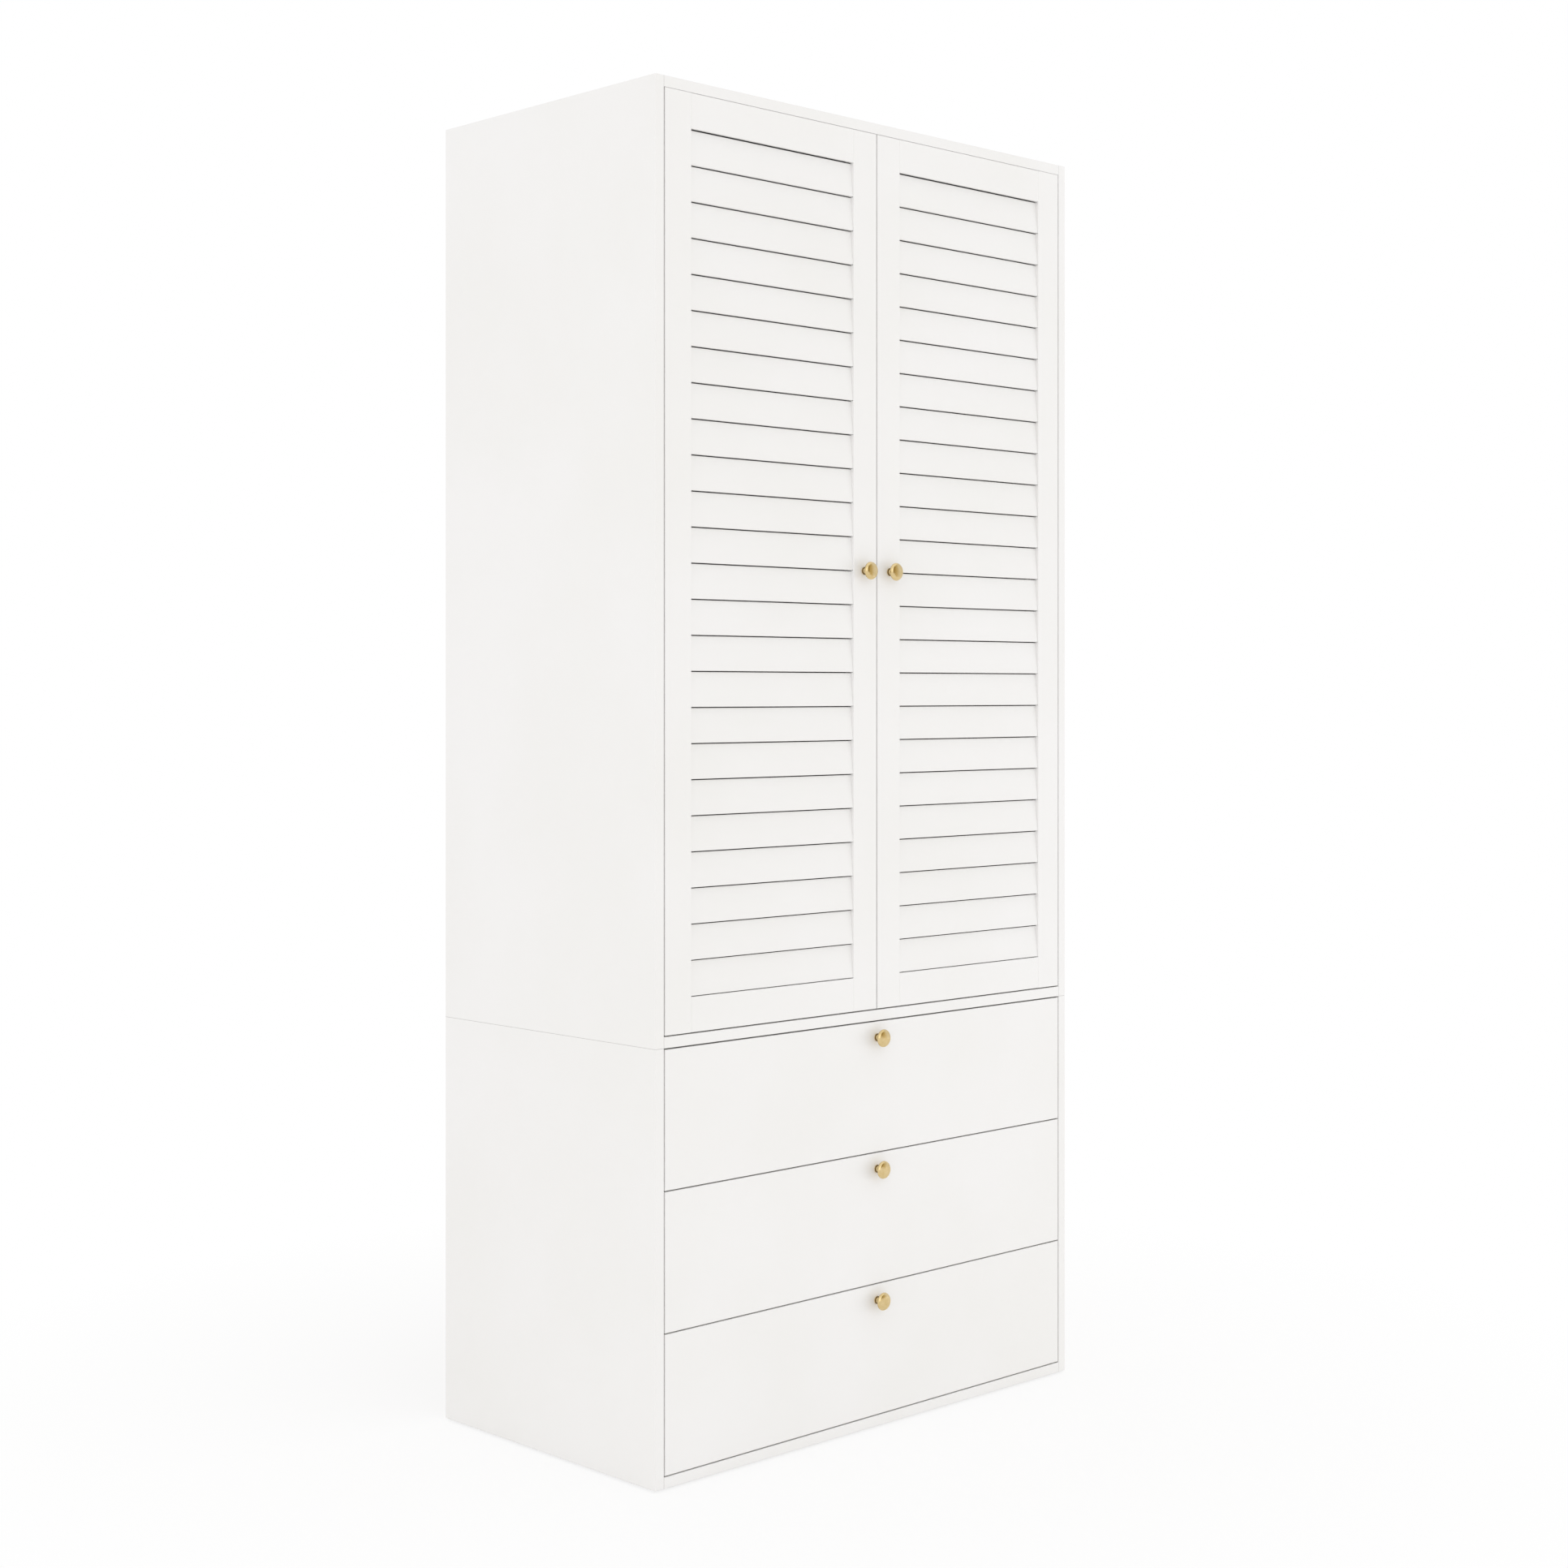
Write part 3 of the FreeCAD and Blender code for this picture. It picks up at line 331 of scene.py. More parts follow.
def birchPlywood(name, grain, across, through=None, middle=0.0):
    # Rotary-cut birch with clear lacquer: pale straw, long soft streaks along the grain and short brown
    # flecks. The cut edges show the plies, about 1.4 mm each, every second one end grain and darker: a
    # layer's number is its distance from the board's middle, along the axis through the board, over the
    # ply's thickness.
    look = {
        "pale": "#e3cfab", "warm": "#cfb385", "streak": (190, 14, 3.0), "streakSpan": (0.3, 0.72),
        "fleck": "#a98659", "fleckLength": 16, "fleckWidth": 0.9, "fleckSpan": (0.66, 0.78),
        "fleckShare": 0.45, "endGrain": "#b08f62", "endGrainShare": 0.75, "ply": 1.355,
        "poreHeight": 0.03, "poreStrength": 0.5,
    }
    material, tree, surface, place = newSurface(name, {"Roughness": 0.4, "IOR": 1.5})
    length, width, depth = look["streak"]
    streak = [{grain: length, across: width}.get(axis, depth) for axis in "xyz"]
    fleck = [look["fleckLength"] if axis == grain else look["fleckWidth"] for axis in "xyz"]
    streaks = noise(tree, place, streak, detail=4, roughness=0.55, distortion=0.6)
    figure = spread(tree, streaks, look["streakSpan"])
    wood = mixColours(tree, figure, look["pale"], look["warm"])
    flecks = spread(tree, noise(tree, place, fleck, detail=1), look["fleckSpan"], (0.0, look["fleckShare"]))
    wood = mixColours(tree, flecks, wood, look["fleck"])
    if through:
        value = addNode(tree, "SeparateXYZ", {0: place}).outputs["xyz".index(through)]
        inward = distance(tree, maths(tree, "ABSOLUTE", value), middle)
        layer = maths(tree, "ADD", maths(tree, "DIVIDE", inward, look["ply"] * mm), 0.5)
        crossed = maths(tree, "MODULO", maths(tree, "FLOOR", layer), 2.0)
        share = maths(tree, "MULTIPLY", crossed, look["endGrainShare"])
        wood = mixColours(tree, share, wood, look["endGrain"])
    linkTo(tree, surface, "Base Color", wood)
    emboss(tree, surface, noise(tree, place, fleck, detail=2), look["poreHeight"], look["poreStrength"])
    return material


def nickelPlatedSteel():
    # Pressed strip with bright nickel: a warm grey mirror softened by the strip's own fine tooth, and
    # drawing marks about 0.5 mm apart along the strip
    look = {
        "bright": "#cfcac2", "dull": "#b9b4ab", "cloud": 12, "cloudSpan": (0.3, 0.7),
        "roughness": (0.2, 0.32), "marks": (4.0, 4.0, 0.5), "markHeight": 0.01, "markStrength": 0.5,
    }
    material, tree, surface, place = newSurface("nickelPlatedSteel", {"Metallic": 1.0})
    cloud = noise(tree, place, look["cloud"], detail=3)
    linkTo(tree, surface, "Base Color", mixColours(tree, cloud, look["bright"], look["dull"]))
    linkTo(tree, surface, "Roughness", spread(tree, cloud, look["cloudSpan"], look["roughness"]))
    marks = noise(tree, place, look["marks"], detail=2)
    emboss(tree, surface, marks, look["markHeight"], look["markStrength"])
    return material


def zincPlatedSteel():
    # Roll-formed strip with bright zinc: cool grey, rolling lines along its length about 0.8 mm apart and
    # a faint blue and straw bloom from the passivation
    look = {
        "cool": "#b9bfc4", "straw": "#c2bfb4", "bloom": 30, "bloomSpan": (0.35, 0.65),
        "lines": (0.8, 160, 0.8), "lineSpan": (0.3, 0.7), "roughness": (0.3, 0.42),
        "lineHeight": 0.012, "lineStrength": 0.6,
    }
    material, tree, surface, place = newSurface("zincPlatedSteel", {"Metallic": 1.0})
    bloom = spread(tree, noise(tree, place, look["bloom"], detail=3), look["bloomSpan"])
    linkTo(tree, surface, "Base Color", mixColours(tree, bloom, look["cool"], look["straw"]))
    lines = noise(tree, place, look["lines"], detail=2)
    linkTo(tree, surface, "Roughness", spread(tree, lines, look["lineSpan"], look["roughness"]))
    emboss(tree, surface, lines, look["lineHeight"], look["lineStrength"])
    return material


def satinBrass():
    # Turned brass, brushed on the lathe and lacquered: pale gold with fine rings round the axis, and
    # painted shade in brown in front of the foot and behind the rim, standing in for the knob's own shade
    # and dark reflections there. The rings are 0.1 mm apart, drawn at 0.45 mm. They and the two bands of
    # painted shade follow the length along the turned profile, kept on the points in millimetres; a band is
    # its colour, its place and half its width, and fades over the outer half.
    look = {
        "gold": "#e6cf9c", "deep": "#d8bd80", "cloud": 7, "cloudSpan": (0.3, 0.7), "cloudShare": 0.7,
        "roughness": (0.18, 0.24), "ring": 0.45, "ringShare": 0.12, "ringHeight": 0.004, "ringStrength": 0.6,
        "bands": (("#4a3210", 2.6, 1.5), ("#7a5a22", 20.1, 1.1)), "bandShare": 0.9,
    }
    constants = {"Metallic": 1.0, "Coat Weight": 0.3, "Coat Roughness": 0.25}
    material, tree, surface, place = newSurface("satinBrass", constants)
    length = addNode(tree, "Attribute", attribute_name="profileLength").outputs["Fac"]
    rings = maths(tree, "SINE", maths(tree, "MULTIPLY", length, 2 * np.pi / look["ring"]))
    cloud = noise(tree, place, look["cloud"], detail=3)
    drift = spread(tree, cloud, look["cloudSpan"], (0.0, look["cloudShare"]))
    tone = maths(tree, "ADD", drift, maths(tree, "MULTIPLY", rings, look["ringShare"]))
    colour = mixColours(tree, tone, look["gold"], look["deep"])
    # Painted shade: brown bands darken the foot's front and the rim's back, where the knob's own shade and
    # dark reflections fall
    for paintedShade, middle, half in look["bands"]:
        share = spread(tree, distance(tree, length, middle), (half / 2, half), (look["bandShare"], 0.0))
        colour = mixColours(tree, share, colour, paintedShade)
    linkTo(tree, surface, "Base Color", colour)
    linkTo(tree, surface, "Roughness", spread(tree, cloud, look["cloudSpan"], look["roughness"]))
    emboss(tree, surface, rings, look["ringHeight"], look["ringStrength"])
    return material


def mouldedPolyethylene():
    # Injection-moulded polyethylene: milky white, waxy, with the fine grain of a spark-eroded mould, 0.6 mm
    look = {"milk": "#e6e4dc", "grain": 0.6, "grainHeight": 0.03, "grainStrength": 0.4}
    constants = {"Base Color": linear(look["milk"]), "Roughness": 0.5, "IOR": 1.51, "Subsurface Weight": 0.1}
    material, tree, surface, place = newSurface("mouldedPolyethylene", constants)
    grain = noise(tree, place, look["grain"], detail=2)
    emboss(tree, surface, grain, look["grainHeight"], look["grainStrength"])
    return material


# Each finish is a material and its slot
sideBoard = birchPlywood("birchPlywoodSide", "y", "z", "x", midway("top_drawer_right_side", "x"))
backBoard = birchPlywood("birchPlywoodBack", "x", "z", "y", midway("top_drawer_back", "y"))
lacquer = (satinWhiteLacquer(), "satin_white_lacquer")
hardboard = (whiteFacedHardboard(), "white_faced_hardboard")
plySide = (sideBoard, "birch_plywood")
plyBack = (backBoard, "birch_plywood")
plyBottom = (birchPlywood("birchPlywoodBottom", "x", "y"), "birch_plywood")
nickel = (nickelPlatedSteel(), "nickel_plated_steel")
zinc = (zincPlatedSteel(), "zinc_plated_steel")
brass = (satinBrass(), "satin_brass")
polyethylene = (mouldedPolyethylene(), "moulded_polyethylene")

# What a node's name ends in, and its finish; every other node is lacquered
endings = {
    "back_panel": hardboard,
    "drawer_left_side": plySide,
    "drawer_right_side": plySide,
    "drawer_back": plyBack,
    "drawer_bottom": plyBottom,
    "runners": zinc,
    "hinge_plates": nickel,
    "hinge_arms": nickel,
}
for name, node in nodes.items():
    material, slot = next((finish for ending, finish in endings.items() if name.endswith(ending)), lacquer)
    node.data.materials.clear()
    node.data.materials.append(material)
print("materials laid on the frame")


louvre = {"count": 24, "board": 5, "lean": 5.3, "roundings": (0.35, 0.35, 0.3, 0.3), "steps": 3, "crease": 30}


def louvreShapes(node):
    # A board's rounded section, leaning back by the lean, carried from housing to housing and repeated up
    # the door. The board is as wide as the node is deep: depth = width sin lean + thickness cos lean.
    low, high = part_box(node)
    lean = np.radians(louvre["lean"])
    board = louvre["board"] * mm
    width = (high.y - low.y - board * np.cos(lean)) / np.sin(lean)
    tall = width * np.cos(lean) + board * np.sin(lean)
    step = (high.z - low.z - tall) / (louvre["count"] - 1)
    corners = [(0, 0), (width, 0), (width, board), (0, board)]
    flat = rounded(corners, np.array(louvre["roundings"]) * mm, louvre["steps"])
    back = flat[:, 0] * np.sin(lean) + flat[:, 1] * np.cos(lean)
    up = flat[:, 0] * np.cos(lean) + (board - flat[:, 1]) * np.sin(lean)
    shapes = []
    for number in range(louvre["count"]):
        y, z = low.y + back, low.z + up + number * step
        ends = [np.stack([np.full_like(y, x), y, z], -1) for x in (low.x, high.x)]
        shapes.append(closedShape(np.stack(ends)))
    return shapes


for side in ("left", "right"):
    node = side + "_louvres"
    makePiece(side + "_louvre_slats", louvreShapes(node), side + "_door", lacquer, [node], louvre["crease"])
print("louvres made:", 2 * louvre["count"])


# Shares of a screw head's radius or height. The power and the start, an angle, shape its round top, and
# the skirt goes that many millimetres into its seat.
panHead = {
    "power": 0.6, "start": 0.02, "crossDepth": 0.6, "armHalf": 0.2, "armSlope": 0.09, "armReach": 0.62,
    "reachSlope": 0.12, "skirtRadius": 0.9, "skirt": 0.3, "columns": 32, "rows": 9,
}


def crossArm(beside, along):
    # 1 within the arm's half width and reach, falling to 0 over the slopes
    inSide = np.clip((panHead["armHalf"] - beside) / panHead["armSlope"], 0, 1)
    return inSide * np.clip((panHead["armReach"] - along) / panHead["reachSlope"], 0, 1)


def screwHead(radius, height):
    # A pan head, the radius times sin t and the height times cos t each to the power, with t from a right
    # angle down to the start, and a cross sunk in its top
    t = np.linspace(np.pi / 2, panHead["start"], panHead["rows"])
    profile = np.stack([radius * np.sin(t) ** panHead["power"], height * np.cos(t) ** panHead["power"]], -1)
    grid = lathe(profile, panHead["columns"])
    u, v = np.abs(grid[..., 0]) / radius, np.abs(grid[..., 1]) / radius
    grid[..., 2] -= panHead["crossDepth"] * height * np.maximum(crossArm(u, v), crossArm(v, u))
    skirt = lathe([(radius * panHead["skirtRadius"], -panHead["skirt"])], panHead["columns"])
    return np.concatenate([skirt, grid])


knob = {
    "profile": [  # radius and reach from the front board: foot, waist, hollow, rim, shoulder, domed face
        (5.6, 0), (6.1, 0.2), (6.2, 0.7), (5.8, 1.35), (4.8, 1.9), (3.9, 2.9), (3.6, 4.4), (3.9, 6.2),
        (4.7, 8.0), (6.3, 9.7), (8.9, 11.3), (11.5, 12.5), (13.2, 13.3), (13.65, 14.1), (13.5, 15.0),
        (12.8, 16.4), (11.3, 17.8), (8.6, 18.75), (5.2, 19.25), (2.4, 19.46), (0.3, 19.5),
    ],
    "steps": 5, "columns": 72, "crease": 50, "screwHead": 4.2, "screwHeadHeight": 2.4, "shank": 2,
    "shankLength": 17.8, "shankOverlap": 0.2, "shankColumns": 16,
}


def makeKnob(body):
    # The turned profile, smoothed through its key points, and behind it a screw through the front board
    node = body + "_knob"
    low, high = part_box(node)
    x, z = midway(node, "x"), midway(node, "z")
    profile = curveThrough(knob["profile"], knob["steps"])
    grid = lathe(profile, knob["columns"])
    shape = placedShape(grid, (x, low.y + profile[-1, 1] * mm, z), "front")
    turning = makePiece(node + "_turning", [shape], body, brass, [node], knob["crease"])
    length = turning.data.attributes.new("profileLength", "FLOAT", "POINT")
    length.data.foreach_set("value", np.repeat(lengthAlong(profile), knob["columns"]).astype(np.float32))
    head = screwHead(knob["screwHead"], knob["screwHeadHeight"])
    ends = [(knob["shank"], knob["shankOverlap"]), (knob["shank"], -knob["shankLength"])]
    shank = lathe(ends, knob["shankColumns"])
    seat = (x, high.y - knob["screwHeadHeight"] * mm, z)
    makePiece(node + "_screw", [placedShape(grid, seat, "back") for grid in (head, shank)], body, zinc)


handled = ("left_door", "right_door", *drawers)
for body in handled:
    makeKnob(body)
print("knobs turned:", len(handled))


# The arm's strip lies along the side panel for its length, and comes forward round three bends to the
# pin's eye. Its screws are each a distance along it and a radius; elsewhere a screw is a radius and a
# height.
arm = {
    "eyeRadius": 2.4, "eyeBore": 1.45, "eyeHalf": 4.8, "eyeColumns": 24, "side": -24, "reach": 29.555,
    "length": 26, "end": 2.0, "bends": (4, 3, 1.6), "bendSteps": 7, "sheet": 2, "width": 12, "waist": 9.6,
    "waistFrom": 0.55, "waistOver": 0.3, "edge": 0.04, "edgeSteps": 4,
    "screws": ((7.5, 3.2), (18.5, 3.6)), "screwHeight": 1.3,
}
plate = {
    "sheet": 3, "edge": 0.6, "body": 9, "wing": 25, "wingSpan": (6, 20), "roundings": (2, 1.5, 4),
    "screw": (3.8, 1.8), "screwUp": 17.5,
}
cup = {
    "radius": 17.4, "wall": 0.6, "depth": 12, "offset": -3.5, "rear": 8.5, "outerBend": 1.2,
    "innerBend": 0.8, "centre": 0.3, "columns": 56, "flangeSheet": 1, "flangeHalf": 31, "flangeGap": 0.1,
    "flangeEdge": (0.35, 0.6), "flangeColumns": 72, "ovalPower": 2 / 3, "screw": (3.4, 1.1),
    "screwUp": 24.4,
}
pin = {"count": 3, "radius": 1.4, "half": 16.6, "edge": 0.3, "edgeSteps": 3, "columns": 20}


def hingePoints():
    # The middles of the left door's pins
    low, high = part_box("left_hinge_cups")
    x = (low.x + high.x) / 2 - cup["offset"] * mm
    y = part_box("left_hinge_stile")[1].y - cup["rear"] * mm
    lowest, highest = low.z + cup["flangeHalf"] * mm, high.z - cup["flangeHalf"] * mm
    return [(x, y, z) for z in np.linspace(lowest, highest, pin["count"])]


def armGrid():
    # The strip's rounded section carried along a path with rounded bends, square to it, and drawn in to
    # the waist by a smooth step: 3 s s - 2 s s s. Across the strip, the section is a share of the width.
    side, reach, slant = arm["side"], arm["reach"], np.sqrt(0.5)
    path = rounded(
        [(side, reach + arm["length"]), (side, reach), (reach / 2, reach), (reach * slant, reach * slant),
         (arm["end"] * slant, arm["end"] * slant)],
        arm["bends"], arm["bendSteps"], closed=False,
    )
    ahead = unitised(np.gradient(path, axis=0))
    run = lengthAlong(path)
    s = np.clip((run / run[-1] - arm["waistFrom"]) / arm["waistOver"], 0, 1)
    width = arm["width"] + (arm["waist"] - arm["width"]) * s * s * (3 - 2 * s)
    half = arm["sheet"] / 2
    corners = [(-half, -0.5), (half, -0.5), (half, 0.5), (-half, 0.5)]
    section = rounded(corners, arm["edge"], arm["edgeSteps"])
    out = np.stack([-ahead[:, 1], ahead[:, 0]], -1)
    flat = path[:, None] + out[:, None] * section[None, :, :1]
    up = section[None, :, 1:] * width[:, None, None]
    return np.concatenate([flat, up], -1)


def hingeArmShapes(x, y, z):
    bore, radius, half = arm["eyeBore"], arm["eyeRadius"], arm["eyeHalf"]
    eye = lathe([(bore, -half), (radius, -half), (radius, half), (bore, half)], arm["eyeColumns"])
    parts = [placedShape(armGrid(), (x, y, z), "up"), placedShape(eye, (x, y, z), "up", ring=True)]
    for behind, radius in arm["screws"]:
        spot = (x + (arm["side"] + arm["sheet"] / 2) * mm, y + (arm["reach"] + behind) * mm, z)
        parts.append(placedShape(screwHead(radius, arm["screwHeight"]), spot, "right"))
    return parts


def hingePlateShapes(x, y, z):
    # A plate under the arm with a wing up and one down, each with a screw; the upper half mirrors the lower
    near, far = plate["wingSpan"]
    body, wing, length = plate["body"], plate["wing"], arm["length"]
    lower = [(0, -body), (near, -body), (near, -wing), (far, -wing), (far, -body), (length, -body)]
    upper = [(along, -up) for along, up in reversed(lower)]
    outer, nook, tip = plate["roundings"]
    outline = rounded(lower + upper, [outer, nook, tip, tip, nook, outer] * 2)
    start = (x + (arm["side"] - arm["sheet"] / 2 - plate["sheet"]) * mm, y + arm["reach"] * mm, z)
    parts = [placedShape(slab(outline, 0, plate["sheet"], plate["edge"]), start, "right")]
    for up in (-plate["screwUp"], plate["screwUp"]):
        spot = (start[0] + plate["sheet"] * mm, start[1] + (near + far) / 2 * mm, z + up * mm)
        parts.append(placedShape(screwHead(*plate["screw"]), spot, "right"))
    return parts


def flangeOval(inset):
    # The circle's cosine and sine each to the oval's power, with their signs, times the two half sizes
    a = anglesRound(cup["flangeColumns"])
    across, up = (np.sign(f) * np.abs(f) ** cup["ovalPower"] for f in (np.cos(a), np.sin(a)))
    return np.stack([(cup["radius"] - inset) * across, (cup["flangeHalf"] - inset) * up], -1)


def hingeCupShapes(x, y, z):
    # A pressed cup: outer wall, rolled lip, inner wall and floor in one turned profile. The flange lies
    # between the cup's round mouth and an oval. The pin goes through the cup.
    wide, wall, deep, sheet = cup["radius"], cup["wall"], cup["depth"], cup["flangeSheet"]
    inner = wide - wall
    outside = [(cup["centre"], -deep), (wide, -deep), (wide, sheet)]
    inside = [(inner, sheet), (inner, wall - deep), (cup["centre"], wall - deep)]
    walls = ((outside, cup["outerBend"]), (inside, cup["innerBend"]))
    bowl = np.vstack([rounded(corners, bend, closed=False) for corners, bend in walls])
    centre = (x + cup["offset"] * mm, y + cup["rear"] * mm, z)
    parts = [placedShape(lathe(bowl, cup["columns"]), centre, "back")]
    a = anglesRound(cup["flangeColumns"])
    mouth = np.stack([(inner + cup["flangeGap"]) * np.cos(a), (inner + cup["flangeGap"]) * np.sin(a)], -1)
    edge, shoulder = cup["flangeEdge"]
    wideOval, topOval = flangeOval(0), flangeOval(edge)
    rows = [(mouth, 0), (wideOval, 0), (wideOval, shoulder), (topOval, sheet), (mouth, sheet)]
    flange = np.stack([np.concatenate([flat, np.full((len(a), 1), reach)], -1) for flat, reach in rows])
    parts.append(placedShape(flange, centre, "back", ring=True))
    for up in (-cup["screwUp"], cup["screwUp"]):
        spot = (centre[0], centre[1] + sheet * mm, z + up * mm)
        parts.append(placedShape(screwHead(*cup["screw"]), spot, "back"))
    rod = roundedRod(pin["radius"], -pin["half"], pin["half"], pin["edge"], pin["edgeSteps"], pin["columns"])
    parts.append(placedShape(rod, (x, y, z), "up"))
    return parts


points = hingePoints()
arms = [shape for point in points for shape in hingeArmShapes(*point)]
plates = [shape for point in points for shape in hingePlateShapes(*point)]
cups = [shape for point in points for shape in hingeCupShapes(*point)]
makePiece("hinge_arm_strips", arms + mirrorX(arms), "cabinet", nickel, ["hinge_arms"])
makePiece("hinge_plate_pressings", plates + mirrorX(plates), "cabinet", nickel, ["hinge_plates"])
makePiece("left_hinge_cup_pressings", cups, "left_door", nickel, ["left_hinge_cups"])
makePiece("right_hinge_cup_pressings", mirrorX(cups), "right_door", nickel, ["right_hinge_cups"])
print("hinges made:", 2 * len(points))


peg = {"radius": 2.45, "length": 18, "rounding": 0.7, "steps": 4, "columns": 24}


def shelfPegShapes():
    # Two pegs under each end of each shelf
    low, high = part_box("shelf_pins")
    radius = peg["radius"] * mm
    rod = roundedRod(peg["radius"], 0, peg["length"], peg["rounding"], peg["steps"], peg["columns"])
    parts = []
    for shelf in ("lower_shelf", "middle_shelf", "upper_shelf"):
        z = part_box(shelf)[0].z - radius
        parts += [placedShape(rod, (low.x, y, z), "right") for y in (low.y + radius, high.y - radius)]
    return parts + mirrorX(parts)


bolt = {
    "spacing": 600, "head": 7, "headHeight": 2, "headColumns": 48, "shank": 3, "shankOverlap": 0.5,
    "shankColumns": 24, "socket": 2.5, "socketTaper": 0.97, "socketDepth": 0.2, "point": 0.3,
    "pointDepth": 0.3,
    "headProfile": [(1, 0), (1, 0.55), (0.95, 0.88), (0.86, 1)],  # shares of the head's radius and height
}


def socketHead():
    # A low round head whose middle drops into a hexagonal socket: there the radius is the flat's distance
    # over the cosine of the angle from the nearest flat
    height, columns = bolt["headHeight"], bolt["headColumns"]
    a = anglesRound(columns)
    hexagon = bolt["socket"] / np.cos((a + np.pi / 6) % (np.pi / 3) - np.pi / 6)
    rows = [
        (hexagon, height), (hexagon * bolt["socketTaper"], -bolt["socketDepth"] * height),
        (bolt["point"], -bolt["pointDepth"] * height),
    ]
    socket = [np.stack([radius * np.cos(a), radius * np.sin(a), reach + 0 * a], -1) for radius, reach in rows]
    head = lathe(np.array(bolt["headProfile"]) * (bolt["head"], height), columns)
    return np.concatenate([head, socket])


def caseBoltShapes():
    # A sleeve bolt: a head under the lower case's stretcher, a shank and a head on the upper case's floor
    low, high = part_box("case_bolts")
    head = socketHead()
    grip = (high.z - low.z) / mm - 2 * bolt["headHeight"]
    ends = [(bolt["shank"], -bolt["shankOverlap"]), (bolt["shank"], grip + bolt["shankOverlap"])]
    shank = lathe(ends, bolt["shankColumns"])
    x, thick = -bolt["spacing"] / 2 * mm, bolt["headHeight"] * mm
    parts = []
    for y in (low.y + bolt["head"] * mm, high.y - bolt["head"] * mm):
        parts.append(placedShape(head, (x, y, low.z + thick), "down"))
        parts.append(placedShape(shank, (x, y, low.z + thick), "up"))
        parts.append(placedShape(head, (x, y, high.z - thick), "up"))
    return parts + mirrorX(parts)


glide = {"radius": 15, "height": 3, "roundings": (1.6, 0.3), "steps": 5, "centre": 0.3, "columns": 48}


def glideShapes():
    # Six discs: under the corners of the floor panel and the middles of its front and rear
    low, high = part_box("floor_glides")
    radius = glide["radius"] * mm
    disc = roundedRod(
        glide["radius"], 0, glide["height"], glide["roundings"], glide["steps"], glide["columns"],
        glide["centre"],
    )
    spots = [(x, y) for x in (low.x + radius, 0, high.x - radius) for y in (low.y + radius, high.y - radius)]
    return [placedShape(disc, (x, y, low.z), "up") for x, y in spots]


makePiece("shelf_pegs", shelfPegShapes(), "cabinet", nickel, ["shelf_pins"])
makePiece("case_bolt_sleeves", caseBoltShapes(), "cabinet", nickel, ["case_bolts"])
makePiece("glide_discs", glideShapes(), "cabinet", polyethylene, ["floor_glides"])
print("pegs, bolts and glides made")


runner = {
    "sheet": 1.2, "bend": 1.7, "tip": 0.5, "bendSteps": 4, "endEdge": 0.12, "cabinetHeight": 45,
    "cabinetFlange": 9.5, "middleFlange": 8, "screw": (3.4, 1.7), "screwsAt": (38, 190, 400),
}


def channelShape(x, low, high, z, height, flange, opens):
    # A roll-formed channel: a web with a flange along its top and bottom, rounded at the bends and the
    # tips. It opens to the right with opens at 1 and to the left with it at -1.
    top, sheet, bend, tip = height / 2, runner["sheet"], runner["bend"], runner["tip"]
    lip, crook = top - sheet, bend - sheet
    corners = [
        (0, -top), (flange, -top), (flange, -lip), (sheet, -lip),
        (sheet, lip), (flange, lip), (flange, top), (0, top),
    ]
    radii = [bend, tip, tip, crook, crook, tip, tip, bend]
    outline = rounded(corners, radii, runner["bendSteps"]) * (opens, 1)
    grid = slab(outline, 0, (high.y - low.y) / mm, runner["endEdge"], 1)
    return placedShape(grid, (x, low.y, z), "back")


def runnerScrews(x, low, z, facing):
    # Heads in a row along the web
    head = screwHead(*runner["screw"])
    return [placedShape(head, (x, low.y + along * mm, z), facing) for along in runner["screwsAt"]]


cabinetRunners = []
sheet = runner["sheet"] * mm
outerLow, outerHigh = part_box("cabinet_runners")
for drawer in drawers:
    low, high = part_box(drawer + "_runners")
    middleLow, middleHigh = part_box(drawer + "_middle_runners")
    z = (low.z + high.z) / 2
    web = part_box(drawer + "_left_side")[0].x
    inner = [channelShape(web, low, high, z, (high.z - low.z) / mm, (web - low.x) / mm, -1)]
    inner += runnerScrews(web - sheet, low, z, "left")
    makePiece(drawer + "_runner_channels", inner + mirrorX(inner), drawer, zinc, [drawer + "_runners"])
    tall = (middleHigh.z - middleLow.z) / mm
    middle = [channelShape(middleLow.x, middleLow, middleHigh, z, tall, runner["middleFlange"], 1)]
    node = drawer + "_middle_runners"
    makePiece(drawer + "_middle_channels", middle + mirrorX(middle), node, zinc, [node])
    tall = runner["cabinetHeight"]
    outer = [channelShape(outerLow.x, outerLow, outerHigh, z, tall, runner["cabinetFlange"], 1)]
    outer += runnerScrews(outerLow.x + sheet, outerLow, z, "right")
    cabinetRunners += outer + mirrorX(outer)
makePiece("cabinet_runner_channels", cabinetRunners, "cabinet", zinc, ["cabinet_runners"])
print("runners made:", 2 * len(drawers), "sets")


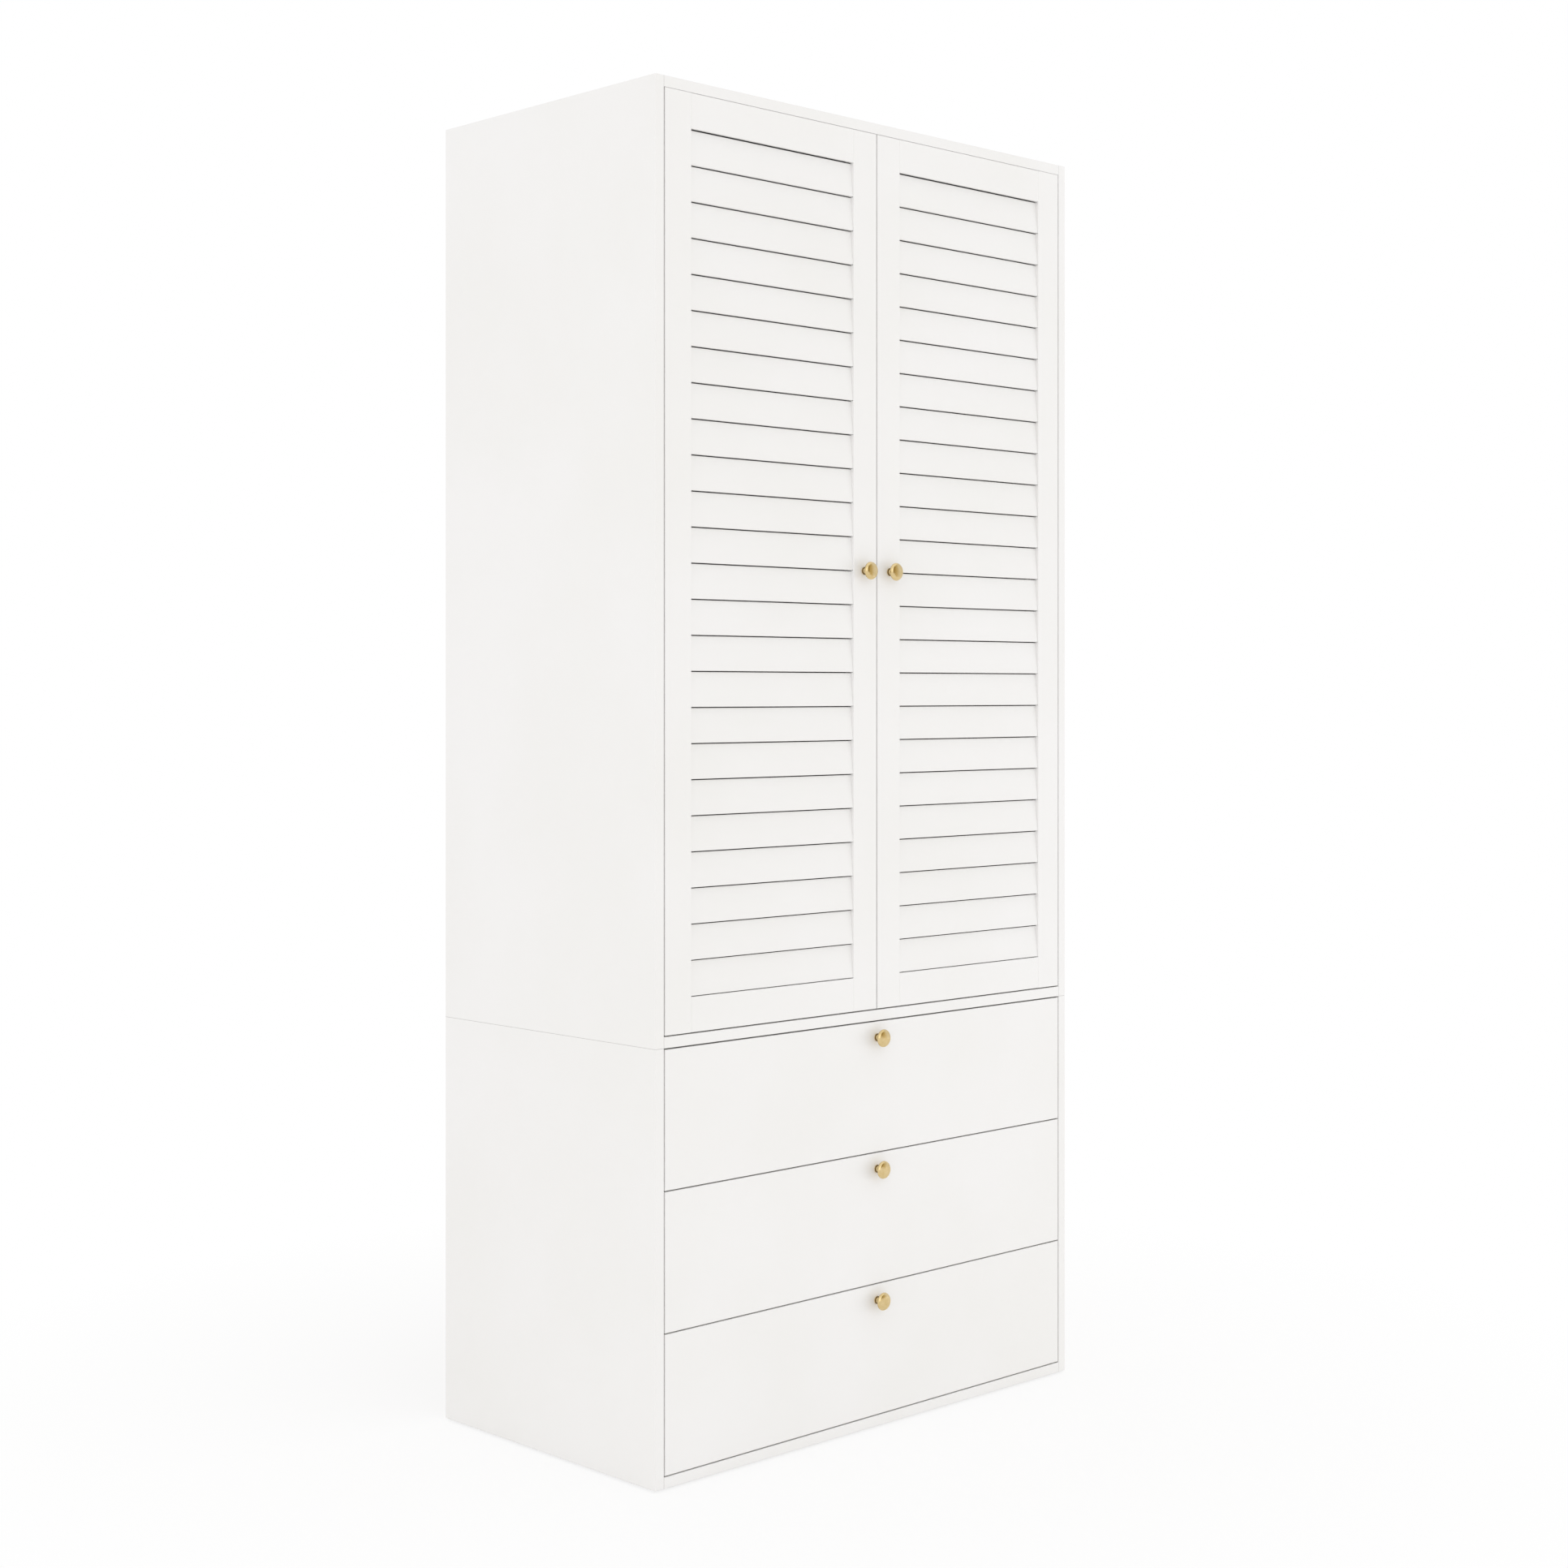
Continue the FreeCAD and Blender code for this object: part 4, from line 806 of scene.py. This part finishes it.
# The room is in metres. To the camera the floor goes over to plain white light between the two distances
# of its fade, and a lamp with mirrored set is the only one that mirrored rays meet.
white = (1.0, 1.0, 1.0, 1.0)
floor = {"tone": "#faf9f8", "half": 40, "fade": (0.6, 1.5), "whiteShare": (0.8, 1.0)}
skyLevel = 0.91
lampAim = (0, 0, 0.9)
lamps = {
    "leftLamp": {"place": (-6.5, -0.6, 0.45), "size": (3.5, 0.8), "power": 27},
    "rightLamp": {"place": (5.2, -3.6, 0.45), "size": (4.5, 0.8), "power": 54},
    "highLamp": {"place": (-4.5, -5.5, 3.2), "size": (6.0, 5.0), "power": 38, "mirrored": True},
}
cards = {
    "ochreCard": {"tone": "#a38d55", "place": (1.2, -5.15, 2.95), "size": (2.5, 4.1)},
    "sandCard": {"tone": "#cfbf93", "place": (3.1, -4.3, 2.5), "size": (2.0, 4.9)},
    "paleCard": {"tone": "#eef0f4", "place": (4.2, -0.9, 3.1), "size": (6.6, 6.1)},
}
camera = {
    "sensor": 36, "lens": 56.97, "shift": -0.0595, "clip": (0.05, 100), "place": (-2.7477, -2.87395, 1.1305),
    "turn": -44.04,
}


def stageQuad(name, corners, material):
    mesh = bpy.data.meshes.new(name)
    mesh.from_pydata(corners, [], [(0, 1, 2, 3)])
    mesh.materials.append(material)
    thing = addObject(name, mesh)
    return thing


def makeFloor():
    # Pale and matt. To the camera most of it is plain white light, all of it beyond the fade, so it runs
    # into the backdrop; what is left near the cabinet keeps the shadow.
    material, tree = emptyMaterial("paintedFloor")
    place = addNode(tree, "TexCoord").outputs["Object"]
    away = addNode(tree, "VectorMath", {0: place}, operation="LENGTH").outputs["Value"]
    paint = addNode(tree, "BsdfDiffuse", {"Color": linear(floor["tone"])}).outputs[0]
    light = addNode(tree, "Emission", {"Color": white, "Strength": 1.0}).outputs[0]
    seen = addNode(tree, "LightPath").outputs["Is Camera Ray"]
    share = maths(tree, "MULTIPLY", seen, spread(tree, away, floor["fade"], floor["whiteShare"]))
    blend = addNode(tree, "MixShader", {0: share, 1: paint, 2: light}).outputs[0]
    addNode(tree, "OutputMaterial", {"Surface": blend})
    half = floor["half"]
    stageQuad("floor", [(-half, -half, 0), (half, -half, 0), (half, half, 0), (-half, half, 0)], material)


def makeCard(name, tone, place, size):
    # A standing card that faces the middle and that only mirrored rays meet, so that the metal has
    # something darker than the backdrop to show
    place = np.array(place)
    facing = -place * (1, 1, 0) / np.linalg.norm(place[:2])
    side = np.array([facing[1], -facing[0], 0]) * size[0] / 2
    rise = np.array([0, 0, size[1] / 2])
    material, tree = emptyMaterial(name)
    paint = addNode(tree, "BsdfDiffuse", {"Color": linear(tone)}).outputs[0]
    addNode(tree, "OutputMaterial", {"Surface": paint})
    corners = [place - side - rise, place + side - rise, place + side + rise, place - side + rise]
    card = stageQuad(name, corners, material)
    card.visible_camera = card.visible_diffuse = card.visible_shadow = card.visible_transmission = False


def makeSky():
    # White to the camera and in reflections; an even pale level of light on everything else
    world = bpy.data.worlds.new("studio")
    bpy.context.scene.world = world
    world.use_nodes = True
    tree = world.node_tree
    tree.nodes.clear()
    path = addNode(tree, "LightPath").outputs
    mirrored = maths(tree, "MAXIMUM", path["Is Glossy Ray"], path["Is Transmission Ray"])
    seen = maths(tree, "MAXIMUM", path["Is Camera Ray"], mirrored)
    lit = addNode(tree, "Background", {"Color": white, "Strength": skyLevel}).outputs[0]
    shown = addNode(tree, "Background", {"Color": white, "Strength": 1.0}).outputs[0]
    blend = addNode(tree, "MixShader", {0: seen, 1: lit, 2: shown}).outputs[0]
    addNode(tree, "OutputWorld", {"Surface": blend})


def makeLamp(name, place, size, power, mirrored=False):
    # A flat soft lamp aimed at the middle of the cabinet
    lamp = bpy.data.lights.new(name, "AREA")
    lamp.shape = "RECTANGLE"
    lamp.size, lamp.size_y = size
    lamp.energy = power
    thing = addObject(name, lamp)
    thing.location = place
    thing.visible_glossy = mirrored
    aim = np.array(lampAim) - np.array(place)
    thing.rotation_euler = (np.arctan2(np.hypot(*aim[:2]), -aim[2]), 0, np.arctan2(-aim[0], aim[1]))


def makeCamera():
    # Level, so the uprights stay upright; the frame is moved down to take in the whole cabinet
    data = bpy.data.cameras.new("camera")
    data.sensor_width = camera["sensor"]
    data.lens = camera["lens"]
    data.shift_y = camera["shift"]
    data.clip_start, data.clip_end = camera["clip"]
    thing = addObject("camera", data)
    thing.location = camera["place"]
    thing.rotation_euler = (np.radians(90), 0, np.radians(camera["turn"]))
    bpy.context.scene.camera = thing


makeFloor()
for name, card in cards.items():
    makeCard(name, **card)
makeSky()
for name, lamp in lamps.items():
    makeLamp(name, **lamp)
makeCamera()
bpy.context.scene.view_settings.view_transform = "Standard"
print("room, light and camera set")
